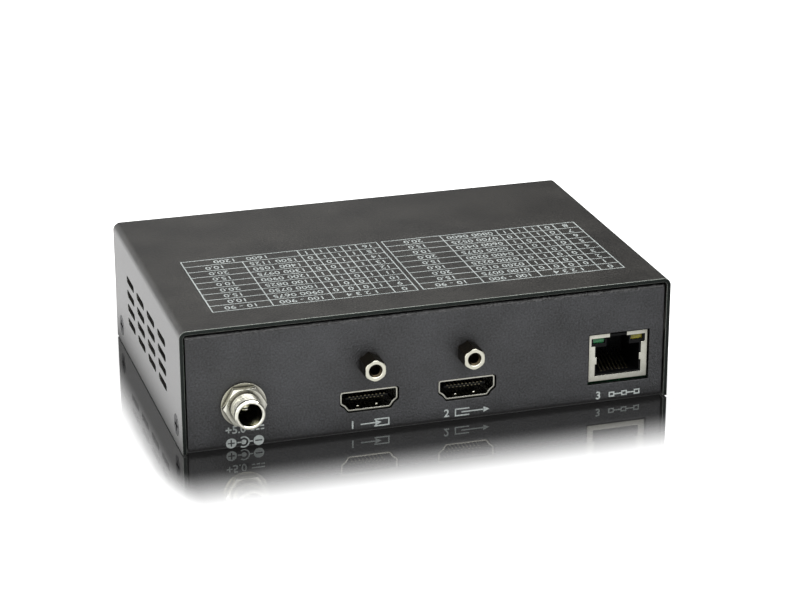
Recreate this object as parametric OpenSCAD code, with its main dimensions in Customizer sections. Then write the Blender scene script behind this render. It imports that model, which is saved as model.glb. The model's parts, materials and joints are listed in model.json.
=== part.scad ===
// A metal-cased extender for video over a network cable.
// A folded cover closes over a folded tray that holds one circuit board with all its sockets.
// X runs along the connector panel, Y from that panel to the switch panel, and Z is up.
// The origin is the centre of the case's underside, and every size is in millimetres.

/* [Case] */
// Width of the case, along the connector panel
case_w = 129; // [126:0.5:150]
// Depth of the case, from the connector panel to the switch panel
case_d = 85; // [82:0.5:110]
// Height of the case
case_h = 33; // [31:0.5:45]
// Sheet thickness of the cover
cover_t = 1; // [0.8:0.1:1.2]
// Outer radius of the cover's two long bends
cover_bend_r = 2; // [1.6:0.1:3]
// Height of the cover's lower edges above the surface
cover_lift = 0.3; // [0.1:0.1:0.6]
// Sheet thickness of the tray
tray_t = 1; // [0.8:0.1:1.2]
// Outer radius of the tray's bends
tray_bend_r = 1.5; // [1.4:0.1:2.5]
// Gap between the tray and the inside of the cover
cover_gap = 0.5; // [0.2:0.05:0.6]
// Distance of each panel behind the cover's open edges
panel_recess = 0.5; // [0.4:0.1:1.6]
// Depth of the lip folded in at the top of each panel
panel_lip = 7; // [4:0.5:9]
// Height of the tray's side flanges above the cover screws' axes
flange_edge = 3.6; // [3.2:0.1:3.6]
// Gap between the end of a side flange and the panel behind it
flange_end_gap = 1; // [0.5:0.1:1.6]

/* [Vents] */
// Slots in a row, along the depth
vent_columns = 4; // [2:1:4]
// Rows of slots, one above the other
vent_rows = 4; // [2:1:4]
// Length of a slot
vent_l = 9.8; // [6:0.2:11]
// Height of a slot
vent_h = 2.1; // [1.2:0.1:2.4]
// Distance from one slot to the next in a row
vent_pitch = 13.4; // [12.4:0.2:15]
// Distance from one row to the next
vent_row_pitch = 4; // [3:0.1:4]
// Height of the pattern's middle above the case's mid-height
vent_rise = 0.6; // [0.5:0.1:1.2]

/* [Fasteners] */
// Radius of the screws' thread
screw_r = 1.5; // [1.3:0.05:1.5]
// Radial gap round a thread or a screw's shank
thread_gap = 0.05; // [0.03:0.01:0.1]
// Radial gap round a countersunk head
head_gap = 0.1; // [0.05:0.01:0.2]
// Radius of a cover screw's countersunk head
cover_head_r = 2.8; // [2.6:0.1:3.1]
// Height of a cover screw's countersunk head
cover_head_h = 1.6; // [1.4:0.1:1.8]
// Whole length of a cover screw
cover_screw_l = 4.2; // [3.8:0.1:4.2]
// Distance of a cover screw from the open edge of the cover
cover_screw_inset = 7; // [6.5:0.1:10]
// Height of a cover screw above the surface
cover_screw_z = 5.6; // [5:0.1:5.8]
// Radius of the round nuts on the tray's side flanges
cover_nut_r = 2.8; // [2.4:0.1:2.9]
// Thickness of the nuts on the side flanges
cover_nut_t = 1.6; // [1.2:0.1:1.7]
// Radius of a board screw's head
board_head_r = 2.8; // [2.4:0.1:3]
// Height of a board screw's head
board_head_h = 1.8; // [1.2:0.1:2.2]
// Length of a board screw's thread inside its standoff
board_screw_bite = 3; // [2:0.1:3.4]
// Width of the cross recess in a screw head
cross_w = 0.7; // [0.5:0.05:0.9]
// Length of the cross recess
cross_l = 3.2; // [2.4:0.1:3.6]
// Depth of the cross recess
cross_depth = 0.9; // [0.5:0.05:1.1]

/* [Main board] */
// Thickness of the board
board_t = 1.6; // [1:0.1:1.8]
// Height of the standoffs under the board
standoff_h = 3.6; // [3.2:0.1:4.4]
// Distance between the flats of a standoff
standoff_flats = 5.5; // [5:0.1:6]
// Radius of a standoff's neck in the tray's floor
standoff_neck_r = 2.1; // [1.9:0.1:2.4]
// Gap round a standoff's neck
neck_gap = 0.02; // [0.01:0.01:0.05]
// Gap between the board and the ends of the cover screws
board_side_gap = 0.5; // [0.4:0.1:0.8]
// Gap between the board and the panels
board_end_gap = 0.6; // [0.4:0.1:0.6]
// Gap round a lead in its hole in the board
lead_gap = 0.15; // [0.05:0.05:0.3]
// Length of a lead below the board
lead_end = 1; // [0.5:0.1:1.5]
// Distance of the rear standoffs from the side edges of the board
rear_standoff_inset = 4.5; // [4:0.1:8]
// Distance of the standoffs from the front and rear edges of the board
standoff_inset = 6; // [5:0.1:8]

/* [Power jack] */
// Distance of the jack's axis from the left side of the case
jack_inset = 15.7; // [15:0.1:18]
// Height of the jack's axis above the board
jack_rise = 5.8; // [5.6:0.1:6.6]
// Outer radius of the threaded barrel
jack_thread_r = 3.9; // [3.7:0.05:4.1]
// Pitch of the barrel's thread
jack_thread_pitch = 0.75; // [0.5:0.05:1]
// Depth of the barrel's thread
jack_thread_depth = 0.28; // [0.15:0.01:0.35]
// Radius of the hole in the barrel
jack_hole_r = 3; // [2.75:0.05:3.2]
// Length of the barrel outside the panel
jack_reach = 7.8; // [6:0.1:9]
// Length of the barrel inside the jack's housing
jack_tail = 4; // [3:0.1:5]
// Chamfer on the barrel's mouth
jack_chamfer = 0.35; // [0.2:0.05:0.4]
// Radius of the centre pin
jack_pin_r = 1.05; // [0.8:0.05:1.3]
// Distance of the centre pin's tip behind the mouth
jack_pin_setback = 4.8; // [3:0.1:6]
// Chamfer on the centre pin's tip
jack_pin_chamfer = 0.6; // [0.3:0.05:0.7]
// Width of the slot that splits the centre pin
jack_pin_slot = 0.4; // [0.2:0.05:0.5]
// Length of that slot
jack_pin_slot_l = 5; // [3:0.1:7]
// Distance between the flats of the jack's nut
jack_nut_flats = 9.7; // [9.4:0.1:10]
// Thickness of the jack's nut
jack_nut_t = 2; // [1.5:0.1:2.5]
// Radius of the jack's washer
jack_washer_r = 5.8; // [5.6:0.05:6]
// Thickness of the jack's washer
jack_washer_t = 0.6; // [0.4:0.1:0.8]
// Width of the jack's housing
jack_housing_w = 9.4; // [9:0.1:10]
// Height of the housing above the jack's axis
jack_housing_top = 5.2; // [4.8:0.1:6]
// Depth of the housing behind the panel
jack_housing_d = 13.5; // [12.5:0.1:14]
// Thickness of the housing's rear wall
jack_wall = 1.6; // [1.2:0.1:2]

/* [Video sockets] */
// Place of the input socket, from the middle of the case
video_in_x = -16.2; // [-18:0.1:-15]
// Place of the output socket, from the middle of the case
video_out_x = 9.7; // [8:0.1:11]
// Outer width of a socket's shell
video_w = 15; // [14.6:0.1:15.4]
// Outer height of a socket's shell
video_h = 5.3; // [5:0.1:5.6]
// Depth of a socket's shell
video_d = 12; // [10:0.1:13]
// Sheet thickness of the shell
video_t = 0.35; // [0.3:0.05:0.5]
// Distance of the mouth behind the panel's face
video_setback = 0.6; // [0.3:0.1:0.9]
// Gap between a shell and its cut-out in the panel
video_gap = 0.3; // [0.2:0.05:0.5]
// Height at which the straight sides of the shell end
video_side_z = 2.1; // [1.9:0.1:2.3]
// Height of the shell's shoulders
video_shoulder_z = 1.3; // [1.1:0.1:1.5]
// Distance of the shoulders from the straight sides
video_shoulder_in = 1.1; // [0.9:0.1:1.3]
// Distance of the shell's floor from the straight sides
video_foot_in = 2; // [1.8:0.1:2.2]
// Radius of the shell's corners
video_corner_r = 0.6; // [0.5:0.05:0.7]
// Distance of the contact tongue from the shell's sides
tongue_side = 2; // [1.8:0.1:2.3]
// Thickness of the contact tongue
tongue_t = 0.5; // [0.4:0.1:1.2]
// Distance of the tongue's front edge behind the mouth
tongue_setback = 1.9; // [1.2:0.1:2.4]
// Length of the insulator block at the rear of the shell
insulator_l = 4; // [3:0.1:4.5]
// Distance of the outer contacts from the tongue's sides
tongue_margin = 1; // [0.8:0.1:1.2]
// Contacts in a video socket, in turn above and below the tongue
video_contact_count = 19; // [15:2:19]
// Width of a contact, as a share of the distance to the next
video_contact_share = 0.68; // [0.5:0.01:0.72]
// Thickness of a contact
video_contact_t = 0.15; // [0.1:0.01:0.2]
// Length of a contact's foot behind the shell
video_contact_foot = 1; // [0.6:0.1:1.4]

/* [Lock posts] */
// Height of the lock posts' axes above the board
post_rise = 12.8; // [12:0.1:14]
// Distance between the flats of a lock post
post_flats = 5.2; // [4.8:0.1:5.5]
// Length of a lock post outside the panel
post_reach = 5.8; // [5.5:0.1:8]
// Radius of the threaded hole in a lock post
post_hole_r = 1.25; // [1.15:0.05:1.4]
// Length of the threaded hole
post_hole_l = 4; // [3:0.1:4.4]
// Radius of the countersunk mouth of the hole
post_mouth_r = 1.85; // [1.7:0.05:2.1]
// Distance between the flats of a lock post's nut
post_nut_flats = 5.5; // [5:0.1:6]
// Thickness of a lock post's nut
post_nut_t = 2.4; // [1.6:0.1:2.6]
// Length of the stud past its nut
post_stud_end = 0.6; // [0.2:0.1:1]

/* [Network socket] */
// Distance of the network socket's shield from the right edge of the board
net_side = 0.9; // [0.8:0.1:3]
// Outer width of the shield
net_w = 16; // [15.6:0.1:16.2]
// Outer height of the shield
net_h = 12.85; // [12.6:0.05:13.2]
// Depth of the shield
net_d = 16; // [15:0.1:17]
// Sheet thickness of the shield
net_t = 0.3; // [0.2:0.05:0.35]
// Distance of the shield's face behind the panel's face
net_setback = 0.6; // [0.3:0.1:0.9]
// Gap between the shield and the sides and top of its cut-out
net_gap = 0.4; // [0.2:0.05:0.5]
// Gap between the shield and the bottom of its cut-out
net_low_gap = 0.75; // [0.4:0.05:0.9]
// Width of the strips beside the plug opening in the shield's face
net_cheek = 1.65; // [1.5:0.05:1.7]
// Height of the strip below the plug opening
net_sill = 1.4; // [1.2:0.1:1.5]
// Height of the strip above the light windows
net_brow = 1; // [0.8:0.1:1.1]
// Height of the light windows
net_window_h = 2.2; // [2:0.1:2.4]
// Width of the strip beside the light windows
net_window_side = 0.6; // [0.5:0.05:0.7]
// Width of the latch notch in the shield
net_notch_w = 4.7; // [4:0.1:5.4]
// Depth of the latch notch in the shield's top
net_notch_d = 3; // [2:0.1:4]
// Reach of the shield's two spring tabs into the opening
net_tab_in = 0.45; // [0.3:0.05:0.5]
// Height of a spring tab
net_tab_h = 1.9; // [1.4:0.1:2.4]
// Thickness of the housing's side walls
net_side_wall = 1.7; // [1.6:0.05:1.8]
// Thickness of the housing's rear wall
net_back_wall = 2.9; // [2:0.1:4]
// Height of the shelf between the plug cavity and the light windows
net_shelf = 0.35; // [0.3:0.05:0.5]
// Height of the plug cavity's floor above the board
net_floor = 1.7; // [1.6:0.1:1.9]
// Width of the latch slot above the plug cavity
net_slot_w = 6.2; // [6:0.1:6.4]
// Thickness of the wall between the latch slot and a light
net_light_wall = 0.5; // [0.4:0.05:0.7]
// Distance of a light from the housing's side
net_light_side = 0.85; // [0.6:0.05:1.2]
// Height of a light
net_light_h = 1.5; // [1.2:0.1:1.6]
// Length of a light
net_light_l = 8; // [5:0.1:9]
// Distance of a light's face behind the housing's face
net_light_setback = 0.5; // [0.2:0.1:1]
// Distance between two contact wires
net_wire_pitch = 1.02; // [0.95:0.01:1.05]
// Contact wires in the socket
net_wire_count = 8; // [4:2:8]
// Width of a contact wire
net_wire_w = 0.45; // [0.35:0.01:0.5]
// Thickness of a contact wire
net_wire_t = 0.3; // [0.2:0.05:0.35]
// Distance of the wires' front bend behind the shield's face
net_wire_front = 2.4; // [2:0.1:3]
// Distance of the wires' free ends from the cavity's rear
net_wire_back = 2.8; // [2.4:0.1:4]
// Slope of a wire, in degrees
net_wire_slope = 20; // [14:1:22]

/* [Address switch] */
// Place of the address switch, from the middle of the case
switch_x = -20; // [-24:0.5:-8]
// Distance between two sliders
switch_pitch = 2.54; // [2.5:0.01:2.6]
// Extra width of the switch beyond its sliders' pitch
switch_end = 1.5; // [1:0.1:2]
// Height of the switch
switch_h = 9.9; // [9.4:0.1:10.4]
// Depth of the switch's slotted cover
switch_cover_d = 5; // [4:0.1:5.4]
// Depth of the switch's base
switch_base_d = 3.6; // [3.4:0.1:4]
// Thickness of the cover's face
switch_face_t = 0.9; // [0.6:0.1:1.2]
// Gap between the switch and its window in the panel
switch_gap = 0.3; // [0.2:0.05:0.5]
// Width of a slider inside the cover
slider_w = 1.8; // [1.5:0.1:1.9]
// Height of a slider inside the cover
slider_h = 2.6; // [2.2:0.1:2.8]
// Width and height of a slider's knob
slider_knob = 1.1; // [0.9:0.1:1.2]
// Length of the knob outside the face
slider_knob_reach = 0.8; // [0.4:0.1:1.2]
// Travel of a slider
slider_travel = 2; // [1.4:0.1:2.2]
// Gap round a slider
slider_gap = 0.12; // [0.08:0.01:0.15]
// Thickness of the switch's pins
switch_pin_w = 0.5; // [0.3:0.05:0.6]
// Distance between the two rows of pins
switch_pin_rows = 2.54; // [2.2:0.01:2.6]

/* [Status lights] */
// Place of the first status light, from the middle of the case
light_x = 26; // [22:0.5:28]
// Distance between the two status lights
light_pitch = 8; // [7:0.5:10]
// Radius of a status light
light_r = 1.5; // [1:0.1:1.7]
// Height of the lights' axes above the board
light_rise = 4.2; // [4:0.1:6]
// Reach of a light's dome past the panel
light_reach = 0.7; // [0.4:0.1:1.2]
// Radial gap round a light
light_gap = 0.1; // [0.05:0.05:0.2]
// Width of a light's holder
light_holder_w = 4.6; // [4.4:0.1:5]
// Depth of a light's holder
light_holder_d = 5; // [4:0.1:6]
// Width of a light's leads
light_lead_w = 0.5; // [0.4:0.05:0.6]
// Distance between a light's two leads
light_lead_pitch = 2.54; // [2:0.01:2.6]

/* [Board parts] */
// Side of the main processor
processor_w = 21; // [16:0.5:23]
// Thickness of the main processor
processor_t = 1.8; // [1.2:0.1:2.4]
// Side of the heat sink
sink_w = 28; // [22:0.5:28]
// Height of the heat sink
sink_h = 11; // [6:0.5:14]
// Thickness of the heat sink's base
sink_base_t = 2; // [1.5:0.1:3]
// Fins on the heat sink
sink_fins = 9; // [5:1:10]
// Thickness of a fin
sink_fin_t = 1; // [0.7:0.1:1.2]
// Distance of the thermal pad from the processor's edges
pad_in = 1; // [0.5:0.1:2]
// Thickness of the thermal pad
pad_t = 0.5; // [0.3:0.1:1]
// Body side of the two video chips
video_chip_w = 12; // [10:0.5:12]
// Body side of the network chip
network_chip_w = 9; // [7:0.5:10]
// Body thickness of a flat-pack chip
flat_pack_t = 1.4; // [1:0.1:1.6]
// Gap under a flat-pack chip's body
flat_pack_lift = 0.1; // [0.05:0.05:0.2]
// Reach of a chip's leads beyond its body
chip_lead_reach = 1; // [0.6:0.1:1.2]
// Distance between two leads of a flat-pack chip
chip_lead_pitch = 0.8; // [0.8:0.1:1.2]
// Width of a chip's lead
chip_lead_w = 0.3; // [0.2:0.05:0.4]
// Thickness of a chip's lead
chip_lead_t = 0.2; // [0.1:0.05:0.25]
// Width of a memory chip
memory_w = 9; // [7:0.5:10]
// Length of a memory chip
memory_l = 13; // [11:0.5:14]
// Thickness of a memory chip
memory_t = 1.1; // [0.8:0.1:1.4]
// Width of an eight-lead chip's body
small_chip_w = 4; // [3.5:0.1:4.5]
// Length of an eight-lead chip's body
small_chip_l = 5; // [4.5:0.1:5.5]
// Distance between two leads of an eight-lead chip
small_chip_pitch = 1.27; // [1.1:0.01:1.3]
// Width of the network transformer
transformer_w = 15; // [12:0.5:16]
// Depth of the network transformer
transformer_d = 8; // [6:0.5:8]
// Height of the network transformer
transformer_h = 5; // [3:0.5:6]
// Length of a clock crystal
crystal_l = 11; // [9:0.5:11.5]
// Width of a clock crystal
crystal_w = 4.6; // [3.8:0.1:4.8]
// Height of a clock crystal
crystal_h = 3.6; // [3:0.1:4]
// Side of a power inductor
inductor_w = 7.3; // [6:0.1:8]
// Height of a power inductor
inductor_h = 4; // [3:0.1:5]
// Corner radius of a power inductor
inductor_r = 1.5; // [1:0.1:2]
// Radius of a capacitor can
can_r = 3.15; // [2.5:0.05:3.6]
// Height of a capacitor can above its base
can_h = 7; // [5:0.1:9]
// Height of a capacitor can's base
can_base_h = 0.8; // [0.5:0.1:1]
// Depth of the rolled groove near a can's foot
can_groove = 0.3; // [0.2:0.05:0.4]
// Length of the input fuse
fuse_l = 7.3; // [6:0.1:8]
// Width of the input fuse
fuse_w = 5; // [4:0.1:5.4]
// Height of the input fuse
fuse_h = 1.8; // [1:0.1:3]
// Length of a surge array
surge_l = 2.5; // [2:0.1:2.8]
// Width of a surge array
surge_w = 1.2; // [1:0.1:1.4]
// Height of a surge array
surge_h = 0.6; // [0.4:0.1:0.8]
// Length of a small chip capacitor or resistor
chip_part_l = 1.6; // [1.2:0.1:1.8]
// Width of a small chip capacitor or resistor
chip_part_w = 0.8; // [0.6:0.1:1]
// Height of a small capacitor
chip_capacitor_h = 0.8; // [0.5:0.1:1]
// Height of a small resistor
chip_resistor_h = 0.45; // [0.3:0.05:0.6]
// Distance between two small parts in a row
chip_part_pitch = 2.2; // [1.9:0.1:2.4]

/* [Hidden] */

// Round parts are cut finely enough to count as true circles
$fn = 48;
// Overrun of every cut past the face that it leaves
over = 0.5;
// Gap between a part and the part moulded or pressed round it
fit_gap = 0.05;

half_w = case_w / 2;
half_d = case_d / 2;
tray_half_w = half_w - cover_t - cover_gap;
tray_top = case_h - cover_t - cover_gap;
panel_y = half_d - panel_recess;
panel_in_y = panel_y - tray_t;
flange_half_l = panel_in_y - flange_end_gap;
flange_in_x = tray_half_w - tray_t;
cover_screw_y = half_d - cover_screw_inset;
flange_h = cover_screw_z + flange_edge;
vent_mid_z = case_h / 2 + vent_rise;

board_z = tray_t + standoff_h;
board_top = board_z + board_t;
board_half_w = half_w - cover_screw_l - board_side_gap;
board_half_d = panel_in_y - board_end_gap;
thread_hole_r = screw_r + thread_gap;
standoff_y = board_half_d - standoff_inset;
lead_depth = board_t + lead_end;

jack_x = jack_inset - half_w;
jack_z = board_top + jack_rise;
jack_cavity_d = jack_housing_d - jack_wall;
jack_pin_tip = jack_reach - jack_pin_setback;
jack_pin_end = jack_housing_d + tray_t;
// Thickness of the jack's contact spring and terminals
jack_sheet = 0.3;
// Width of the jack's contact spring
jack_spring_w = 2;
// Depth of the channel that the spring lies in
jack_channel = 1;
// Rise of the spring into the plug's path
jack_spring_rise = 0.35;
// Length of the spring's flat feet
jack_spring_foot = 1.6;
// Width of a jack terminal's blade
jack_blade_w = 2.2;
// Distance of the side terminal from the housing's rear
jack_side_blade = 5;

post_z = board_top + post_rise;
post_mouth_h = post_mouth_r - post_hole_r;

video_mid_z = video_h / 2;
tongue_w = video_w - 2 * tongue_side;
video_contact_pitch = (tongue_w - 2 * tongue_margin) / (video_contact_count - 1);
video_contact_w = video_contact_share * video_contact_pitch;
// The rear ends of the contacts' feet
video_back_y = video_setback - panel_y + video_d + video_contact_foot;
// Radius of the spring bumps inside a video shell
video_bump_r = 0.25;
// Length of a spring bump
video_bump_l = 0.5;
// Distance of the spring bumps from the socket's middle
video_bump_x = 2.48;
// Distance of the spring bumps behind the mouth
video_bump_in = 2;
// Width of a shell's legs
video_leg_w = 1.3;
// Distances of the front and rear legs behind the mouth, as shares of the shell's depth
video_leg_shares = [0.3, 0.8];
// Steps in a rounded corner of the shell
corner_steps = 4;

net_x = board_half_w - net_side - net_w / 2;
net_window_z = net_h - net_brow - net_window_h;
net_inner_w = net_w - 2 * net_t - 2 * fit_gap;
net_inner_h = net_h - net_t - fit_gap;
net_inner_d = net_d - 2 * net_t - 2 * fit_gap;
net_face = net_t + fit_gap;
net_slot_top = net_h - net_brow;
net_mouth_w = net_w - 2 * net_cheek;
net_cavity_w = net_inner_w - 2 * net_side_wall;
net_cavity_top = net_window_z - net_shelf;
net_cavity_back = net_face + net_inner_d - net_back_wall;
net_light_w = (net_inner_w - net_slot_w) / 2 - net_light_wall - net_light_side;
net_light_x = (net_inner_w - net_light_w) / 2 - net_light_side;
net_wire_l = (net_cavity_back - net_wire_front - net_wire_back) / cos(net_wire_slope);
net_light_z = net_slot_top - fit_gap - net_light_h / 2;
// Width of the shield's legs
net_leg_w = 1.5;
// Distance of the shield's legs behind its face, as a share of its depth
net_leg_share = 0.4;
// Height of the spring tabs' middle, as a share of the shield's height
net_tab_share = 0.44;
// Height of the wires' run under the cavity's floor, above the board
net_wire_low = 0.4;
// Distance of the wires' two rows of tails behind the shield's face, as shares of the cavity's depth
net_tail_shares = [0.69, 0.89];

// Sliders in the switch, each with a node of its own
switch_count = 4;
switch_w = switch_count * switch_pitch + switch_end;
switch_mid_z = switch_h / 2;
switch_back = switch_cover_d + switch_base_d;
slider_room_h = slider_h + slider_travel + 2 * slider_gap;
slider_back = switch_cover_d - slider_gap;
// Height of a pin inside the switch's base
switch_pin_up = 2;

// Length of a status light behind the panel's outer face
light_body_l = 4.4;
// Length of a light's leads behind its body
light_lead_back = 1;

// Places of the board's parts, as shares of the board's half width and half depth
processor_shares = [0.1, 0.2];
memory_shares = [[0.54, 0.02], [0.54, 0.42]];
flash_shares = [0.46, -0.36];
network_chip_shares = [0.82, -0.02];
crystal_shares = [[-0.27, -0.04], [0.84, 0.26]];
inductor_shares = [[-0.62, 0.08], [-0.62, 0.42]];
regulator_shares = [[-0.82, 0.08], [-0.82, 0.42]];
can_shares = [[-0.82, -0.18], [-0.44, 0.14], [-0.44, 0.44]];
fuse_shares = [-0.62, -0.32];
// Places of the rows of small parts, then the count of parts in each
capacitor_row_shares = [[-0.62, -0.52], [-0.05, -0.36], [0.1, 0.55], [0.36, 0.7]];
resistor_row_shares = [[0.44, -0.58], [-0.5, 0.64], [0.78, 0.52], [-0.26, 0.24]];
chip_row_count = 5;
// Places of the surge arrays, as shares of a video socket's width
surge_shares = [-0.32, 0, 0.32];
// Gap between a socket and the parts behind it
part_gap = 1;
surge_y = video_back_y + part_gap + surge_w / 2;
video_chip_y = surge_y + surge_w / 2 + part_gap + chip_lead_reach + video_chip_w / 2;
transformer_y = net_setback - panel_y + net_d + 2 * part_gap + transformer_d / 2;
// Leads on each of an eight-lead chip's two sides
small_chip_side = 4;
// Radius of the mark that shows a chip's first lead
chip_mark_r = 0.4;
// Distance of that mark from the body's edges
chip_mark_in = 1.2;
// Depth of that mark
chip_mark_depth = 0.1;

// The place of item i in a row of n that is centred on zero
function in_row(i, n, pitch) = (i - (n - 1) / 2) * pitch;

// Outlines are lists of points that run anticlockwise
function edge_normal(a, b) = let (d = b - a) [-d.y, d.x] / norm(d);

function moved_corner(a, b, c, t) =
    let (n1 = edge_normal(a, b), n2 = edge_normal(b, c))
    b + t * (n1 + n2) / (1 + n1 * n2);

// An outline whose every edge is moved inwards by t, or outwards where t is negative
function inset(points, t) =
    let (n = len(points))
    [for (i = [0 : n - 1]) moved_corner(points[(i + n - 1) % n], points[i], points[(i + 1) % n], t)];

// The arc that takes the place of corner b between its neighbours a and c
function corner_arc(a, b, c, r) =
    let (
        u = (a - b) / norm(a - b),
        v = (c - b) / norm(c - b),
        half = acos(u * v) / 2,
        centre = b + r / sin(half) * (u + v) / norm(u + v),
        first = b + r / tan(half) * u - centre,
        turn = sign(cross(b - a, c - b)) * (180 - 2 * half),
        start = atan2(first.y, first.x)
    )
    [for (i = [0 : corner_steps])
        let (angle = start + turn * i / corner_steps)
        centre + r * [cos(angle), sin(angle)]];

function rounded(points, r) =
    let (n = len(points))
    [for (i = [0 : n - 1])
        each corner_arc(points[(i + n - 1) % n], points[i], points[(i + 1) % n], r)];

// A block from its middle in X and Y, standing on z
module block(w, d, h, z = 0) {
    translate([-w / 2, -d / 2, z])
        cube([w, d, h]);
}

// A block between two corners
module span(low, high) {
    translate(low)
        cube(high - low);
}

module ring(r_out, r_in, h) {
    difference() {
        cylinder(h = h, r = r_out);
        translate([0, 0, -over])
            cylinder(h = h + 2 * over, r = r_in);
    }
}

// A six-sided prism by the distance between its flats
module hexagon(flats, h) {
    cylinder(h = h, r = flats / 2 / cos(30), $fn = 6);
}

module cross_recess() {
    block(cross_l, cross_w, cross_depth + over, -cross_depth);
    block(cross_w, cross_l, cross_depth + over, -cross_depth);
}

// The connector panel's outer face, seen from the front: X right, Y up, Z out of the panel
module at_front(x, z, back = 0) {
    translate([x, back - panel_y, z])
        rotate([90, 0, 0])
            children();
}

// The switch panel's outer face, seen from the rear
module at_rear(x, z) {
    translate([x, panel_y, z])
        rotate([90, 0, 180])
            children();
}

// The four cover screws, each seen from its head, with Z into the case
module at_cover_screws() {
    for (sx = [-1, 1])
        for (sy = [-1, 1])
            translate([sx * half_w, sy * cover_screw_y, cover_screw_z])
                rotate([0, -sx * 90, 0])
                    children();
}

// The front standoffs stand midway between two sockets
module at_standoffs(z) {
    left = (jack_x + jack_housing_w / 2 + video_in_x - video_w / 2) / 2;
    right = (video_out_x + video_w / 2 + net_x - net_w / 2) / 2;
    for (x = [left, right])
        translate([x, -standoff_y, z])
            children();
    for (s = [-1, 1])
        translate([s * (board_half_w - rear_standoff_inset), standoff_y, z])
            children();
}

module at_jack() {
    at_front(jack_x, jack_z)
        children();
}

module at_posts() {
    for (x = [video_in_x, video_out_x])
        at_front(x, post_z)
            children();
}

module at_video(x) {
    at_front(x, board_top, video_setback)
        children();
}

module at_network() {
    at_front(net_x, board_top, net_setback)
        children();
}

module at_switch() {
    at_rear(switch_x, board_top)
        children();
}

module at_lights() {
    for (i = [0, 1])
        at_rear(light_x + i * light_pitch, board_top + light_rise)
            children();
}

// A place on the board's top face, by its shares of the board
module on_board(shares) {
    translate([shares.x * board_half_w, shares.y * board_half_d, board_top])
        children();
}

// A place on the board's top face behind a socket
module behind_socket(x, y) {
    translate([x, y, board_top])
        children();
}

// Case

module cover_outline(w, low, high, r) {
    translate([-w / 2, low])
        square([w, high - low - r]);
    translate([r - w / 2, low])
        square([w - 2 * r, high - low]);
    for (s = [-1, 1])
        translate([s * (w / 2 - r), high - r])
            circle(r);
}

// A cover screw's countersunk hole, or its solid where the gaps are zero
module countersunk(gap, shank_gap) {
    cylinder(h = cover_head_h, r1 = cover_head_r + gap, r2 = screw_r + shank_gap);
    cylinder(h = cover_screw_l + gap, r = screw_r + shank_gap);
}

module countersunk_hole() {
    countersunk(head_gap, thread_gap);
    translate([0, 0, -over])
        cylinder(h = over, r = cover_head_r + head_gap);
}

module vent_slots() {
    straight = vent_l - vent_h;
    for (i = [0 : vent_columns - 1])
        for (j = [0 : vent_rows - 1])
            translate([0, in_row(i, vent_columns, vent_pitch),
                       vent_mid_z + in_row(j, vent_rows, vent_row_pitch)])
                rotate([0, 90, 0]) {
                    cube([vent_h, straight, case_w + 2 * over], center = true);
                    for (s = [-1, 1])
                        translate([0, s * straight / 2, 0])
                            cylinder(h = case_w + 2 * over, r = vent_h / 2, center = true);
                }
}

module top_cover() {
    color("#3b3a39")
        difference() {
            rotate([90, 0, 0])
                linear_extrude(case_d, center = true)
                    difference() {
                        cover_outline(case_w, cover_lift, case_h, cover_bend_r);
                        cover_outline(case_w - 2 * cover_t, cover_lift - over, case_h - cover_t,
                                      cover_bend_r - cover_t);
                    }
            vent_slots();
            at_cover_screws()
                countersunk_hole();
        }
}

module cover_screws() {
    color("#262626")
        at_cover_screws()
            difference() {
                countersunk(0, 0);
                rotate([180, 0, 0])
                    cross_recess();
            }
}

module cover_nuts() {
    color("#b9bbbd")
        at_cover_screws()
            translate([0, 0, half_w - flange_in_x])
                ring(cover_nut_r, thread_hole_r, cover_nut_t);
}

module round_rectangle(w, h, r) {
    translate([r - w / 2, 0])
        square([w - 2 * r, h]);
    translate([-w / 2, r])
        square([w, h - 2 * r]);
    for (s = [-1, 1])
        for (z = [r, h - r])
            translate([s * (w / 2 - r), z])
                circle(r);
}

// The tray's section across its two panels, open between the lips
module tray_section() {
    difference() {
        round_rectangle(2 * panel_y, tray_top, tray_bend_r);
        translate([0, tray_t])
            round_rectangle(2 * panel_in_y, tray_top - 2 * tray_t, tray_bend_r - tray_t);
        translate([panel_lip - panel_y, tray_top / 2])
            square([2 * (panel_y - panel_lip), tray_top]);
    }
}

module connector_cutouts() {
    depth = tray_t + 2 * over;
    at_jack()
        translate([0, 0, -depth + over])
            cylinder(h = depth, r = jack_thread_r + fit_gap);
    at_posts()
        translate([0, 0, -depth + over])
            cylinder(h = depth, r = thread_hole_r);
    for (x = [video_in_x, video_out_x])
        at_front(x, board_top)
            translate([0, 0, -depth + over])
                linear_extrude(depth)
                    polygon(video_outline(-video_gap));
    at_front(net_x, board_top)
        span([-net_w / 2 - net_gap, -net_low_gap, over - depth],
             [net_w / 2 + net_gap, net_h + net_gap, over]);
}

module switch_cutouts() {
    depth = tray_t + 2 * over;
    at_switch()
        translate([0, switch_mid_z, 0])
            block(switch_w + 2 * switch_gap, switch_h + 2 * switch_gap, depth, over - depth);
    at_lights()
        translate([0, 0, -depth + over])
            cylinder(h = depth, r = light_r + light_gap);
}

module bottom_tray() {
    color("#333333")
        difference() {
            union() {
                rotate([90, 0, 90])
                    linear_extrude(2 * tray_half_w, center = true)
                        tray_section();
                for (s = [-1, 1])
                    translate([s * (tray_half_w - tray_t / 2), 0, 0])
                        block(tray_t, 2 * flange_half_l, flange_h);
            }
            connector_cutouts();
            switch_cutouts();
            at_cover_screws()
                countersunk_hole();
            at_standoffs(-over)
                cylinder(h = tray_t + 2 * over, r = standoff_neck_r + neck_gap);
        }
}

// Main board and its fasteners

module board_standoffs() {
    color("#b9bbbd")
        at_standoffs(0)
            difference() {
                union() {
                    cylinder(h = tray_t, r = standoff_neck_r);
                    translate([0, 0, tray_t])
                        hexagon(standoff_flats, standoff_h);
                }
                translate([0, 0, -over])
                    cylinder(h = board_z + 2 * over, r = thread_hole_r);
            }
}

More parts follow.
